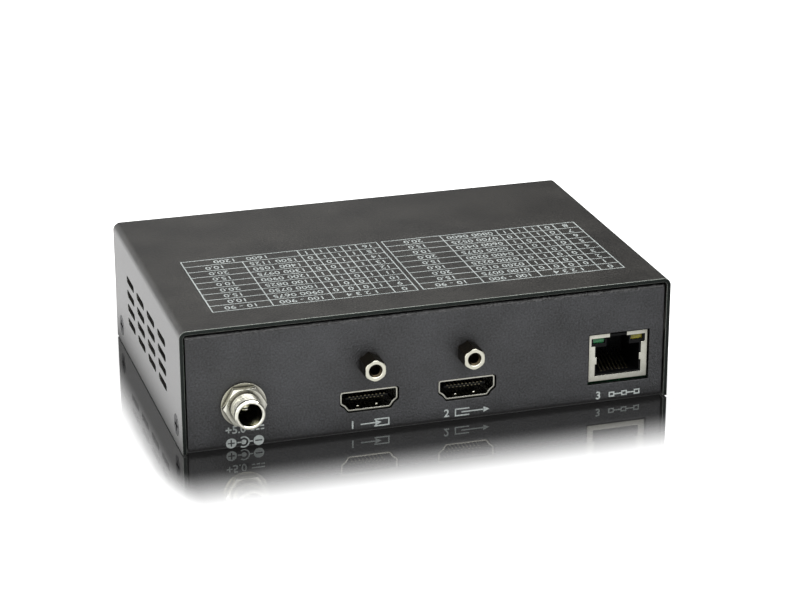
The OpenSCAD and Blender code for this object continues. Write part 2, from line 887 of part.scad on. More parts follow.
module board_screws() {
    color("#c4c6c8")
        at_standoffs(board_top)
            difference() {
                union() {
                    cylinder(h = board_head_h, r = board_head_r);
                    translate([0, 0, -board_t - board_screw_bite])
                        cylinder(h = board_t + board_screw_bite, r = screw_r);
                }
                translate([0, 0, board_head_h])
                    cross_recess();
            }
}

module main_board() {
    color("#1d4a2c")
        difference() {
            block(2 * board_half_w, 2 * board_half_d, board_t, board_z);
            at_standoffs(board_z - over)
                cylinder(h = board_t + 2 * over, r = thread_hole_r);
            jack_legs(lead_gap);
            for (x = [video_in_x, video_out_x])
                video_legs(x, lead_gap);
            network_legs(lead_gap);
            network_tails(lead_gap);
            switch_pins(lead_gap);
            light_legs(lead_gap);
        }
}

// Power jack

// The barrel's half section: a plain bore, and a thread cut as rings outside the panel
function thread_ring(i) =
    let (z = i * jack_thread_pitch, root = jack_thread_r - jack_thread_depth)
    [
        [jack_thread_r, z + jack_thread_pitch / 4],
        [root, z + jack_thread_pitch / 2],
        [jack_thread_r, z + jack_thread_pitch * 3 / 4]
    ];

jack_thread_rings = floor((jack_reach - jack_chamfer) / jack_thread_pitch);

module power_jack_barrel() {
    color("#c9c7c2")
        at_jack()
            rotate_extrude()
                polygon(concat(
                    [[jack_hole_r, -tray_t - jack_tail], [jack_thread_r, -tray_t - jack_tail]],
                    [for (i = [0 : jack_thread_rings - 1]) each thread_ring(i)],
                    [
                        [jack_thread_r, jack_reach - jack_chamfer],
                        [jack_thread_r - jack_chamfer, jack_reach],
                        [jack_hole_r + jack_chamfer / 2, jack_reach],
                        [jack_hole_r, jack_reach - jack_chamfer / 2]
                    ]
                ));
}

module power_jack_washer() {
    color("#cfccc4")
        at_jack()
            ring(jack_washer_r, jack_thread_r + thread_gap, jack_washer_t);
}

// A nut's rounded corners: the solid that it is turned down to
module nut_turning(flats, h) {
    corner = flats / 2 / cos(30);
    bevel = corner - flats / 2;
    cylinder(h = h - bevel / 2, r = corner);
    translate([0, 0, h - bevel / 2])
        cylinder(h = bevel / 2, r1 = corner, r2 = flats / 2);
}

module power_jack_nut() {
    color("#cfccc4")
        at_jack()
            translate([0, 0, jack_washer_t])
                difference() {
                    intersection() {
                        hexagon(jack_nut_flats, jack_nut_t);
                        nut_turning(jack_nut_flats, jack_nut_t);
                    }
                    translate([0, 0, -over])
                        cylinder(h = jack_nut_t + 2 * over, r = jack_thread_r + thread_gap);
                }
}

module power_jack_housing() {
    color("#191919")
        difference() {
            at_jack()
                difference() {
                    span([-jack_housing_w / 2, -jack_rise, -tray_t - jack_housing_d],
                         [jack_housing_w / 2, jack_housing_top, -tray_t]);
                    translate([0, 0, -tray_t - jack_tail - fit_gap])
                        cylinder(h = jack_tail + fit_gap + over, r = jack_thread_r + fit_gap);
                    translate([0, 0, -tray_t - jack_cavity_d])
                        cylinder(h = jack_cavity_d, r = jack_hole_r);
                    translate([0, 0, -tray_t - jack_housing_d - over])
                        cylinder(h = jack_wall + 2 * over, r = jack_pin_r + fit_gap);
                    translate([0, 0, -tray_t - jack_cavity_d])
                        span([-jack_spring_w / 2 - fit_gap, -jack_hole_r - jack_channel, 0],
                             [jack_spring_w / 2 + fit_gap, 0, jack_cavity_d - jack_tail]);
                }
            jack_legs(fit_gap);
        }
}

module power_jack_pin() {
    shoulder = jack_pin_tip - jack_pin_chamfer;
    color("#c8b273")
        at_jack()
            difference() {
                union() {
                    translate([0, 0, -jack_pin_end - jack_sheet])
                        cylinder(h = jack_pin_end + jack_sheet + shoulder, r = jack_pin_r);
                    translate([0, 0, shoulder])
                        cylinder(h = jack_pin_chamfer, r1 = jack_pin_r, r2 = jack_pin_r - jack_pin_chamfer);
                }
                translate([0, 0, jack_pin_tip - jack_pin_slot_l])
                    block(2 * jack_pin_r + 2 * over, jack_pin_slot, jack_pin_slot_l + over);
            }
}

// A strip in a channel under the bore, with a flat foot at each end, bowed up towards the plug
module power_jack_spring() {
    low = -jack_hole_r - jack_channel;
    crest = -jack_hole_r + jack_spring_rise;
    length = jack_cavity_d - jack_tail - 2 * fit_gap;
    color("#c9c7c2")
        at_jack()
            translate([-jack_spring_w / 2, 0, -tray_t - jack_tail - fit_gap])
                rotate([0, 90, 0])
                    linear_extrude(jack_spring_w)
                        polygon([
                            [0, low],
                            [jack_spring_foot, low],
                            [length / 2, crest - jack_sheet],
                            [length - jack_spring_foot, low],
                            [length, low],
                            [length, low + jack_sheet],
                            [length - jack_spring_foot, low + jack_sheet],
                            [length / 2, crest],
                            [jack_spring_foot, low + jack_sheet],
                            [0, low + jack_sheet]
                        ]);
}

// The blades that stand in the board: under the spring's foot, at the housing's side, and behind it
module jack_legs(gap) {
    at_jack() {
        translate([0, 0, -tray_t - jack_tail - jack_spring_foot / 2])
            span([-jack_blade_w / 2 - gap, -jack_rise - lead_depth - gap, -jack_sheet / 2 - gap],
                 [jack_blade_w / 2 + gap, -jack_hole_r - jack_channel, jack_sheet / 2 + gap]);
        translate([0, 0, -tray_t - jack_housing_d + jack_side_blade])
            span([jack_housing_w / 2 - jack_sheet - gap, -jack_rise - lead_depth - gap,
                  -jack_blade_w / 2 - gap],
                 [jack_housing_w / 2 + gap, gap, jack_blade_w / 2 + gap]);
        translate([0, 0, -tray_t - jack_housing_d - jack_sheet])
            span([-jack_blade_w / 2 - gap, -jack_rise - lead_depth - gap, -gap],
                 [jack_blade_w / 2 + gap, -jack_pin_r - jack_sheet, jack_sheet + gap]);
    }
}

module power_jack_terminals() {
    color("#cfccc4")
        difference() {
            union() {
                jack_legs(0);
                at_jack()
                    translate([0, 0, -jack_pin_end - jack_sheet])
                        cylinder(h = jack_sheet, r = 2 * jack_pin_r);
            }
            at_jack()
                translate([0, 0, -jack_pin_end - jack_sheet - over])
                    cylinder(h = jack_sheet + over + fit_gap, r = jack_pin_r + fit_gap);
        }
}

// Video sockets

video_points = let (a = video_w / 2) [
    [video_foot_in - a, 0],
    [a - video_foot_in, 0],
    [a - video_shoulder_in, video_shoulder_z],
    [a, video_side_z],
    [a, video_h],
    [-a, video_h],
    [-a, video_side_z],
    [video_shoulder_in - a, video_shoulder_z]
];

function video_outline(t) = rounded(inset(video_points, t), video_corner_r - t / 2);

module video_legs(x, gap) {
    at_video(x)
        for (s = [-1, 1])
            for (share = video_leg_shares)
                translate([s * (video_w - video_t) / 2, 0, -share * video_d])
                    span([-video_t / 2 - gap, -lead_depth - gap, -video_leg_w / 2 - gap],
                         [video_t / 2 + gap, video_side_z + video_corner_r, video_leg_w / 2 + gap]);
}

module video_shell(x) {
    color("#cfcdc6") {
        at_video(x) {
            translate([0, 0, -video_d])
                linear_extrude(video_d)
                    difference() {
                        polygon(video_outline(0));
                        polygon(video_outline(video_t));
                    }
            for (s = [-1, 1])
                for (y = [video_t, video_h - video_t])
                    translate([s * video_bump_x - video_bump_l / 2, y, -video_bump_in])
                        rotate([0, 90, 0])
                            cylinder(h = video_bump_l, r = video_bump_r);
        }
        video_legs(x, 0);
    }
}

// The middle of contact i's height: the contacts lie above and below the tongue in turn
function video_contact_z(i) =
    video_mid_z + (i % 2 == 0 ? 1 : -1) * (tongue_t + video_contact_t) / 2;

module video_contact_bars(gap) {
    w = video_contact_w / 2 + gap;
    t = video_contact_t / 2 + gap;
    for (i = [0 : video_contact_count - 1])
        translate([in_row(i, video_contact_count, video_contact_pitch), video_contact_z(i), 0])
            span([-w, -t, -video_d - video_contact_foot / 2], [w, t, -tongue_setback]);
}

module video_contacts(x) {
    w = video_contact_w / 2;
    back = -video_d - video_contact_foot / 2;
    front = back + video_contact_t;
    color("#c8b273")
        at_video(x) {
            video_contact_bars(0);
            for (i = [0 : video_contact_count - 1])
                translate([in_row(i, video_contact_count, video_contact_pitch), 0, 0]) {
                    span([-w, 0, back], [w, video_contact_z(i), front]);
                    span([-w, 0, back - video_contact_foot / 2], [w, video_contact_t, front]);
                }
        }
}

module video_insulator(x) {
    color("#141414")
        at_video(x)
            difference() {
                union() {
                    translate([0, 0, -video_d])
                        linear_extrude(insulator_l)
                            polygon(video_outline(video_t + fit_gap));
                    translate([0, video_mid_z, insulator_l - video_d])
                        block(tongue_w, tongue_t, video_d - insulator_l - tongue_setback);
                }
                intersection() {
                    video_contact_bars(fit_gap);
                    translate([0, video_mid_z, -video_d - over])
                        block(video_w, video_h, insulator_l + over);
                }
            }
}

module video_in_shell() {
    video_shell(video_in_x);
}

module video_in_insulator() {
    video_insulator(video_in_x);
}

module video_in_contacts() {
    video_contacts(video_in_x);
}

module video_out_shell() {
    video_shell(video_out_x);
}

module video_out_insulator() {
    video_insulator(video_out_x);
}

module video_out_contacts() {
    video_contacts(video_out_x);
}

// Lock posts

module lock_posts() {
    color("#cfccc4")
        at_posts()
            difference() {
                union() {
                    intersection() {
                        rotate([0, 0, 90])
                            hexagon(post_flats, post_reach);
                        nut_turning(post_flats, post_reach);
                    }
                    translate([0, 0, -tray_t - post_nut_t - post_stud_end])
                        cylinder(h = tray_t + post_nut_t + post_stud_end, r = screw_r);
                }
                translate([0, 0, post_reach - post_mouth_h - post_hole_l])
                    cylinder(h = post_hole_l + post_mouth_h, r = post_hole_r);
                translate([0, 0, post_reach - post_mouth_h])
                    cylinder(h = post_mouth_h, r1 = post_hole_r, r2 = post_mouth_r);
            }
}

module lock_post_nuts() {
    color("#b9bbbd")
        at_posts()
            translate([0, 0, -tray_t - post_nut_t])
                difference() {
                    hexagon(post_nut_flats, post_nut_t);
                    translate([0, 0, -over])
                        cylinder(h = post_nut_t + 2 * over, r = thread_hole_r);
                }
}

// Network socket

// The opening in the shield's face: plug mouth, light windows and latch notch
module network_opening() {
    difference() {
        translate([-net_mouth_w / 2, net_sill])
            square([net_mouth_w, net_window_z - net_sill + over]);
        for (s = [-1, 1])
            translate([s * net_mouth_w / 2 - net_tab_in, net_h * net_tab_share - net_tab_h / 2])
                square([2 * net_tab_in, net_tab_h]);
    }
    translate([net_window_side - net_w / 2, net_window_z])
        square([net_w - 2 * net_window_side, net_window_h]);
    translate([-net_notch_w / 2, net_window_z])
        square([net_notch_w, net_h - net_window_z + over]);
}

module network_legs(gap) {
    at_network()
        for (s = [-1, 1])
            translate([s * (net_w - net_t) / 2, 0, -net_leg_share * net_d])
                span([-net_t / 2 - gap, -lead_depth - gap, -net_leg_w / 2 - gap],
                     [net_t / 2 + gap, net_sill, net_leg_w / 2 + gap]);
}

module network_shield() {
    color("#cfcdc6") {
        at_network()
            difference() {
                span([-net_w / 2, 0, -net_d], [net_w / 2, net_h, 0]);
                span([net_t - net_w / 2, -over, net_t - net_d], [net_w / 2 - net_t, net_h - net_t, -net_t]);
                translate([0, 0, -net_t - over])
                    linear_extrude(net_t + 2 * over)
                        network_opening();
                span([-net_notch_w / 2, net_h - net_t - over, -net_notch_d],
                     [net_notch_w / 2, net_h + over, over]);
            }
        network_legs(0);
    }
}

module at_network_wires() {
    at_network()
        for (i = [0 : net_wire_count - 1])
            translate([in_row(i, net_wire_count, net_wire_pitch), 0, 0]) {
                $tail = net_tail_shares[i % 2] * net_cavity_back;
                children();
            }
}

module network_tails(gap) {
    w = net_wire_w / 2 + gap;
    t = net_wire_t / 2 + gap;
    at_network_wires()
        span([-w, -lead_depth - gap, -$tail - t], [w, net_wire_low, -$tail + t]);
}

module network_housing() {
    color("#141414")
        at_network()
            difference() {
                span([-net_inner_w / 2, 0, -net_face - net_inner_d], [net_inner_w / 2, net_inner_h, -net_face]);
                span([-net_cavity_w / 2, net_floor, -net_cavity_back],
                     [net_cavity_w / 2, net_cavity_top, over]);
                span([-net_slot_w / 2, net_floor, -net_cavity_back],
                     [net_slot_w / 2, net_slot_top, over]);
                for (s = [-1, 1])
                    translate([s * net_light_x, net_light_z, -net_face - net_light_setback])
                        span([-net_light_w / 2 - fit_gap, -net_light_h / 2 - fit_gap, -net_light_l - fit_gap],
                             [net_light_w / 2 + fit_gap, net_light_h / 2 + fit_gap, over + net_light_setback]);
                for (i = [0 : net_wire_count - 1])
                    translate([in_row(i, net_wire_count, net_wire_pitch), 0, 0])
                        span([-net_wire_w / 2 - fit_gap, -over, -net_cavity_back],
                             [net_wire_w / 2 + fit_gap, net_floor + over, fit_gap - net_wire_front]);
            }
}

// A wire comes up through the floor at the front, slopes back into the cavity, and runs to its tail
module network_contacts() {
    color("#c8b273")
        at_network_wires() {
            w = net_wire_w / 2;
            span([-w, net_wire_low - net_wire_t, -$tail - net_wire_t / 2],
                 [w, net_wire_low, -net_wire_front]);
            span([-w, net_wire_low - net_wire_t, -net_wire_front - net_wire_t],
                 [w, net_floor, -net_wire_front]);
            translate([0, net_floor, -net_wire_front])
                rotate([net_wire_slope, 0, 0])
                    span([-w, -net_wire_t, -net_wire_l], [w, 0, 0]);
            span([-w, -lead_depth, -$tail - net_wire_t / 2], [w, net_wire_low, -$tail + net_wire_t / 2]);
        }
}

module network_light(side) {
    at_network()
        translate([side * net_light_x, net_light_z, -net_face - net_light_setback - net_light_l])
            block(net_light_w, net_light_h, net_light_l);
}

module network_link_light() {
    color("#2f9a4e")
        network_light(-1);
}

module network_activity_light() {
    color("#a89a1e")
        network_light(1);
}

// Address switch

module at_sliders() {
    at_switch()
        for (i = [0 : switch_count - 1])
            translate([in_row(i, switch_count, switch_pitch), switch_mid_z, 0])
                children();
}

module address_switch_cover() {
    room_w = slider_w + 2 * slider_gap;
    slot_w = slider_knob + 2 * slider_gap;
    slot_h = slider_knob + slider_travel + 2 * slider_gap;
    color("#7a2420")
        difference() {
            at_switch()
                translate([0, switch_mid_z, 0])
                    block(switch_w, switch_h, switch_cover_d, -switch_cover_d);
            at_sliders() {
                block(room_w, slider_room_h, switch_cover_d - switch_face_t + over, -switch_cover_d - over);
                block(slot_w, slot_h, switch_cover_d + over, -switch_cover_d);
            }
        }
}

module switch_pins(gap) {
    w = switch_pin_w + 2 * gap;
    at_switch()
        for (i = [0 : switch_count - 1])
            for (s = [-1, 1])
                translate([in_row(i, switch_count, switch_pitch), 0,
                           -switch_cover_d - switch_base_d / 2 + s * switch_pin_rows / 2])
                    span([-w / 2, -lead_depth - gap, -w / 2], [w / 2, switch_pin_up + gap, w / 2]);
}

module address_switch_base() {
    color("#1b1b1b")
        difference() {
            at_switch()
                translate([0, switch_mid_z, 0])
                    block(switch_w, switch_h, switch_base_d, -switch_back);
            switch_pins(fit_gap);
        }
}

module address_switch_pins() {
    color("#c9c7c2")
        switch_pins(0);
}

// Slider n, counted from the left as seen from behind the case, at the low end of its travel
module slider(n) {
    color("#e8e6df")
        at_switch()
            translate([in_row(n - 1, switch_count, switch_pitch), switch_mid_z - slider_travel / 2, 0]) {
                block(slider_w, slider_h, slider_back - switch_face_t - slider_gap, -slider_back);
                block(slider_knob, slider_knob, switch_face_t + slider_gap + slider_knob_reach,
                      -switch_face_t - slider_gap);
            }
}

module address_slider_1() {
    slider(1);
}

module address_slider_2() {
    slider(2);
}

module address_slider_3() {
    slider(3);
}

module address_slider_4() {
    slider(4);
}

// Status lights

module status_lights() {
    color("#d8e4d4")
        at_lights() {
            translate([0, 0, -light_body_l])
                cylinder(h = light_body_l + light_reach - light_r, r = light_r);
            translate([0, 0, light_reach - light_r])
                sphere(r = light_r);
        }
}

module light_holders() {
    color("#181818")
        difference() {
            at_lights()
                translate([0, 0, -tray_t - light_holder_d])
                    difference() {
                        span([-light_holder_w / 2, -light_rise, 0],
                             [light_holder_w / 2, light_holder_w / 2, light_holder_d]);
                        translate([0, 0, light_holder_d + tray_t - light_body_l - fit_gap])
                            cylinder(h = light_holder_d, r = light_r + fit_gap);
                    }
            light_legs(fit_gap);
        }
}

module light_legs(gap) {
    w = light_lead_w + 2 * gap;
    at_lights()
        for (s = [-1, 1])
            translate([s * light_lead_pitch / 2, 0, 0]) {
                translate([0, 0, -light_body_l - light_lead_back])
                    block(w, w, light_lead_back + gap);
                span([-w / 2, -light_rise - lead_depth - gap, -light_body_l - light_lead_back - w / 2],
                     [w / 2, w / 2, -light_body_l - light_lead_back + w / 2]);
            }
}

module light_leads() {
    color("#c9c7c2")
        light_legs(0);
}

// Board parts

// A square flat-pack chip with gull-wing leads on four sides
module flat_pack(w) {
    count = floor((w - chip_lead_pitch) / chip_lead_pitch);
    mark = chip_mark_in - w / 2;
    difference() {
        block(w, w, flat_pack_t, flat_pack_lift);
        translate([mark, mark, flat_pack_lift + flat_pack_t - chip_mark_depth])
            cylinder(h = chip_mark_depth + over, r = chip_mark_r);
    }
    for (turn = [0 : 3])
        rotate([0, 0, 90 * turn])
            lead_row(w / 2, count, chip_lead_pitch);
}

// A row of leads along the side at x, each down from the body's middle and out along the board
module lead_row(x, count, pitch) {
    for (i = [0 : count - 1])
        translate([x, in_row(i, count, pitch), 0]) {
            span([-over, -chip_lead_w / 2, flat_pack_t / 2],
                 [chip_lead_reach / 2, chip_lead_w / 2, flat_pack_t / 2 + chip_lead_t]);
            span([chip_lead_reach / 2 - chip_lead_t, -chip_lead_w / 2, 0],
                 [chip_lead_reach / 2, chip_lead_w / 2, flat_pack_t / 2 + chip_lead_t]);
            span([chip_lead_reach / 2 - chip_lead_t, -chip_lead_w / 2, 0],
                 [chip_lead_reach, chip_lead_w / 2, chip_lead_t]);
        }
}

// An eight-lead chip with leads on two sides
module small_chip() {
    block(small_chip_w, small_chip_l, flat_pack_t, flat_pack_lift);
    for (turn = [0, 1])
        rotate([0, 0, 180 * turn])
            lead_row(small_chip_w / 2, small_chip_side, small_chip_pitch);
}

module main_processor() {
    color("#222426")
        on_board(processor_shares)
            block(processor_w, processor_w, processor_t);
}

module thermal_pad() {
    color("#8f9aa6")
        on_board(processor_shares)
            block(processor_w - 2 * pad_in, processor_w - 2 * pad_in, pad_t, processor_t);
}

module heat_sink() {
    gap = (sink_w - sink_fins * sink_fin_t) / (sink_fins - 1);
    color("#2b2d30")
        on_board(processor_shares)
            translate([0, 0, processor_t + pad_t]) {
                block(sink_w, sink_w, sink_base_t);
                for (i = [0 : sink_fins - 1])
                    translate([(sink_fin_t - sink_w) / 2 + i * (sink_fin_t + gap), 0, 0])
                        block(sink_fin_t, sink_w, sink_h);
            }
}

module memory_chips() {
    color("#222426")
        for (shares = memory_shares)
            on_board(shares)
                block(memory_w, memory_l, memory_t);
}

module flash_chip() {
    color("#222426")
        on_board(flash_shares)
            small_chip();
}

module video_receiver_chip() {
    color("#222426")
        behind_socket(video_in_x, video_chip_y)
            flat_pack(video_chip_w);
}

module video_driver_chip() {
    color("#222426")
        behind_socket(video_out_x, video_chip_y)
            flat_pack(video_chip_w);
}

module network_chip() {
    color("#222426")
        on_board(network_chip_shares)
            flat_pack(network_chip_w);
}

module network_transformer() {
    color("#1c1c1e")
        behind_socket(net_x, transformer_y)
            block(transformer_w, transformer_d, transformer_h);
}

module clock_crystals() {
    straight = crystal_l - crystal_w;
    color("#c9c7c2")
        for (shares = crystal_shares)
            on_board(shares) {
                block(straight, crystal_w, crystal_h);
                for (s = [-1, 1])
                    translate([s * straight / 2, 0, 0])
                        cylinder(h = crystal_h, r = crystal_w / 2);
            }
}

module power_inductors() {
    inner = inductor_w - 2 * inductor_r;
    color("#3a3a3c")
        for (shares = inductor_shares)
            on_board(shares) {
                block(inner, inductor_w, inductor_h);
                block(inductor_w, inner, inductor_h);
                for (sx = [-1, 1])
                    for (sy = [-1, 1])
                        translate([sx * inner / 2, sy * inner / 2, 0])
                            cylinder(h = inductor_h, r = inductor_r);
            }
}

module regulator_chips() {
    color("#222426")
        for (shares = regulator_shares)
            on_board(shares)
                small_chip();
}

module capacitor_cans() {
    color("#b7babd")
        for (shares = can_shares)
            on_board(shares)
                translate([0, 0, can_base_h])
                    rotate_extrude()
                        polygon([
                            [0, 0],
                            [can_r, 0],
                            [can_r, can_groove],
                            [can_r - can_groove, 2 * can_groove],
                            [can_r, 3 * can_groove],
                            [can_r, can_h - can_groove],
                            [can_r - can_groove, can_h],
                            [0, can_h]
                        ]);
}

module capacitor_bases() {
    color("#161616")
        for (shares = can_shares)
            on_board(shares)
                block(2 * can_r + 2 * fit_gap, 2 * can_r + 2 * fit_gap, can_base_h);
}

module input_fuse() {
    color("#4b5a2b")
        on_board(fuse_shares)
            block(fuse_l, fuse_w, fuse_h);
}

module surge_arrays() {
    color("#222426")
        for (x = [video_in_x, video_out_x])
            for (share = surge_shares)
                behind_socket(x + share * video_w, surge_y)
                    block(surge_l, surge_w, surge_h);
}

module chip_rows(rows, h) {
    for (shares = rows)
        on_board(shares)
            for (i = [0 : chip_row_count - 1])
                translate([in_row(i, chip_row_count, chip_part_pitch), 0, 0])
                    block(chip_part_w, chip_part_l, h);
}

module small_capacitors() {
    color("#8a7860")
        chip_rows(capacitor_row_shares, chip_capacitor_h);
}

module small_resistors() {
    color("#1f1f22")
        chip_rows(resistor_row_shares, chip_resistor_h);
}

top_cover();
cover_screws();
cover_nuts();
bottom_tray();
board_standoffs();
board_screws();
main_board();
power_jack_barrel();
power_jack_washer();
power_jack_nut();
power_jack_housing();
power_jack_pin();
power_jack_spring();
power_jack_terminals();
video_in_shell();
video_in_insulator();
video_in_contacts();
video_out_shell();
video_out_insulator();
video_out_contacts();
lock_posts();
lock_post_nuts();
network_shield();
network_housing();
network_contacts();
network_link_light();
network_activity_light();
address_switch_cover();
address_switch_base();
address_switch_pins();
address_slider_1();
address_slider_2();
address_slider_3();
address_slider_4();
status_lights();
light_holders();
light_leads();
main_processor();
thermal_pad();
heat_sink();
memory_chips();
flash_chip();
video_receiver_chip();
video_driver_chip();
network_chip();
network_transformer();
clock_crystals();
power_inductors();
regulator_chips();
capacitor_cans();
capacitor_bases();
input_fuse();
surge_arrays();
small_capacitors();
small_resistors();
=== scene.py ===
"""The looks of a metal-cased video extender: finishes, printed marks, floor, light and camera."""
import json
import math

import bmesh
import bpy
from mathutils import Matrix, Vector


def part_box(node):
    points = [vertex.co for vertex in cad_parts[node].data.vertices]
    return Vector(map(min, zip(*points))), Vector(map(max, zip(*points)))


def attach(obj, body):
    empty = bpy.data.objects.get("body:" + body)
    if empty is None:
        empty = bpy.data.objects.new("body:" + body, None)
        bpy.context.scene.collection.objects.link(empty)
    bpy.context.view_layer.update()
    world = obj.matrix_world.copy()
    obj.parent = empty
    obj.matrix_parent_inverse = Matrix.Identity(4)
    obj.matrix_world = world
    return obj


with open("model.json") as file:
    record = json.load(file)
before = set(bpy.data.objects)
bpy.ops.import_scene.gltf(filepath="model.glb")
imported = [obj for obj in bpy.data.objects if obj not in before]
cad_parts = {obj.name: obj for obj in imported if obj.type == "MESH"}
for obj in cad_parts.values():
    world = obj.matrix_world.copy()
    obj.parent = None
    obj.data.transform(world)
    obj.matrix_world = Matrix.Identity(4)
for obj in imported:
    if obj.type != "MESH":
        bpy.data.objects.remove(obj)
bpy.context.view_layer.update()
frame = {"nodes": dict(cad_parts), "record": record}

# The object's lengths are typed in millimetres and turned to metres by this value
MM = 0.001


# Colours

def linear(code):
    """An sRGB hex colour as a linear colour with alpha."""
    shares = [int(code[i:i + 2], 16) / 255 for i in (1, 3, 5)]
    return [s / 12.92 if s <= 0.04045 else ((s + 0.055) / 1.055) ** 2.4 for s in shares] + [1.0]


WHITE = linear("#ffffff")


# Materials

# A Mix node's sockets go by number, as several have one name: its share, two values and two colours
SHARE, VALUE_1, VALUE_2, COLOUR_1, COLOUR_2 = 0, 2, 3, 6, 7
# Its outputs: the mixed value and the mixed colour
VALUE, COLOUR = 0, 2

# Nearly all of a noise lies between these values
NOISE_LOW, NOISE_HIGH = 0.3, 0.7
# The share of the fine grain in a finish's colour and roughness. The slow change has the rest
FINE_SHARE = 0.65
# How strongly the grain's height turns the light
GRAIN_STRENGTH = 0.6
# An edge starts to take its painted edge colour, pale for a painted highlight and dark for a painted shade,
# at the first cosine between its softened and its true normal, and takes it wholly at the second
EDGE_PAINT_FROM, EDGE_PAINT_WHOLE = 0.995, 0.9
# A corner takes its whole painted shade where the first share of its surroundings is open, and none at the
# second
WHOLE_SHADE_OPEN, NO_SHADE_OPEN = 0.45, 0.95


def add(tree, kind, values=None, links=None, **settings):
    """Adds a node to tree, with its settings, the values of its sockets, and the links into them."""
    node = tree.nodes.new("ShaderNode" + kind)
    for name, setting in settings.items():
        setattr(node, name, setting)
    for socket, value in (values or {}).items():
        node.inputs[socket].default_value = value
    for socket, source in (links or {}).items():
        tree.links.new(source, node.inputs[socket])
    return node


def new_material(name):
    material = bpy.data.materials.new(name)
    material.use_nodes = True
    material.node_tree.nodes.clear()
    return material, material.node_tree


def grain(tree, place, size, detail=2.0):
    """A noise whose lumps are about size millimetres wide, as a share from 0 to 1."""
    noise = add(tree, "TexNoise", {"Scale": 1 / (size * MM), "Detail": detail}, {"Vector": place})
    return add(tree, "MapRange", {"From Min": NOISE_LOW, "From Max": NOISE_HIGH},
               {"Value": noise.outputs[0]}).outputs[0]


def banded(tree, place, colour, middle, distance, tint):
    """Gives another colour to what lies within a distance of the two planes y = +-middle.
    Returns the new colour, and a share that is 1 in the band and 0 elsewhere."""
    apart = add(tree, "VectorMath", links={0: place}, operation="ABSOLUTE")
    y = add(tree, "SeparateXYZ", links={0: apart.outputs[0]}).outputs["Y"]
    within = add(tree, "Math", {1: middle, 2: distance}, {0: y}, operation="COMPARE").outputs[0]
    tinted = add(tree, "Mix", {COLOUR_2: linear(tint)}, {SHARE: within, COLOUR_1: colour}, data_type="RGBA")
    return tinted.outputs[COLOUR], within


def rubbed_edges(tree, softened, colour, tint):
    """Paints the edges another colour: a pale tint is a painted highlight along them, a dark tint a painted
    shade.
    """
    face = add(tree, "NewGeometry").outputs["True Normal"]
    turned = add(tree, "VectorMath", links={0: softened, 1: face}, operation="DOT_PRODUCT")
    edge_share = add(tree, "MapRange", {"From Min": EDGE_PAINT_FROM, "From Max": EDGE_PAINT_WHOLE},
               {"Value": turned.outputs["Value"]})
    tinted = add(tree, "Mix", {COLOUR_2: linear(tint)}, {SHARE: edge_share.outputs[0], COLOUR_1: colour},
                 data_type="RGBA")
    return tinted.outputs[COLOUR]


def dusty_corners(tree, colour, reach, tint):
    """Paints shade into the corners in the colour tint, up to reach millimetres from them."""
    openness = add(tree, "AmbientOcclusion", {"Distance": reach * MM}, samples=8).outputs["AO"]
    unshaded = add(tree, "MapRange", {"From Min": WHOLE_SHADE_OPEN, "From Max": NO_SHADE_OPEN}, {"Value": openness})
    tinted = add(tree, "Mix", {COLOUR_1: linear(tint)}, {SHARE: unshaded.outputs[0], COLOUR_2: colour},
                 data_type="RGBA")
    return tinted.outputs[COLOUR]


def finish(name, dark, pale, size, rough, bump, edge=0.1, clouds=12, band=None, bare=False, edge_shading=None,
           corners=None, **sockets):
    """A finish whose colour runs from dark to pale over grains of that size in millimetres.
    rough is its lowest and highest roughness, bump the depth of its grain and edge the radius of its
    softened edges, both in millimetres. clouds is the width of the slow change in colour.
    band is the middle, distance and colour of a band, as banded takes them. bare takes the coat off that
    band, down to the metal. The edge colour is painted along the edges, pale as a painted highlight and dark
    as a painted shade. corners is the reach in millimetres and the colour of the shade painted into the
    corners."""
    material, tree = new_material(name)
    place = add(tree, "TexCoord").outputs["Object"]
    fine = grain(tree, place, size)
    slow = grain(tree, place, clouds, detail=3.0)
    share = add(tree, "Mix", {SHARE: FINE_SHARE}, {VALUE_1: slow, VALUE_2: fine},
                data_type="FLOAT").outputs[VALUE]
    colour = add(tree, "Mix", {COLOUR_1: linear(dark), COLOUR_2: linear(pale)}, {SHARE: share},
                 data_type="RGBA").outputs[COLOUR]
    roughness = add(tree, "MapRange", {"To Min": rough[0], "To Max": rough[1]}, {"Value": share})
    softened = add(tree, "Bevel", {"Radius": edge * MM}, samples=6).outputs[0]
    links = {}
    if band:
        colour, within = banded(tree, place, colour, *band)
        if bare:
            coated = add(tree, "Math", {0: 1.0}, {1: within}, operation="SUBTRACT").outputs[0]
            links = {"Metallic": within, "Coat Weight": coated}
    # The edges get a painted highlight where their colour is pale and a painted shade where it is dark
    if edge_shading:
        colour = rubbed_edges(tree, softened, colour, edge_shading)
    # Shade is painted into the corners
    if corners:
        colour = dusty_corners(tree, colour, *corners)
    height = add(tree, "Bump", {"Strength": GRAIN_STRENGTH, "Distance": bump * MM},
                 {"Height": fine, "Normal": softened})
    links.update({"Base Color": colour, "Roughness": roughness.outputs[0], "Normal": height.outputs[0]})
    shader = add(tree, "BsdfPrincipled", sockets, links)
    add(tree, "OutputMaterial", links={"Surface": shader.outputs[0]})
    return material


# Sliders of the address switch, and so figures that set a row of the table
SLIDERS = 4

METAL = {"Metallic": 1.0}
TINTED_RESIN = {"Transmission Weight": 0.15, "Coat Weight": 0.5}

tray_low, tray_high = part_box("bottom_tray")
cover_low, cover_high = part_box("top_cover")
posts_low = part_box("lock_posts")[0]
# The tray's bends and cut edges lie from just behind its outer faces to this far in
SKIN = 0.06 * MM
BEND = 1.2 * MM
# How far in the tone of the cover's cut ends and of the posts' flat ends reaches
CUT_END = 0.02 * MM
POST_END = 0.1 * MM

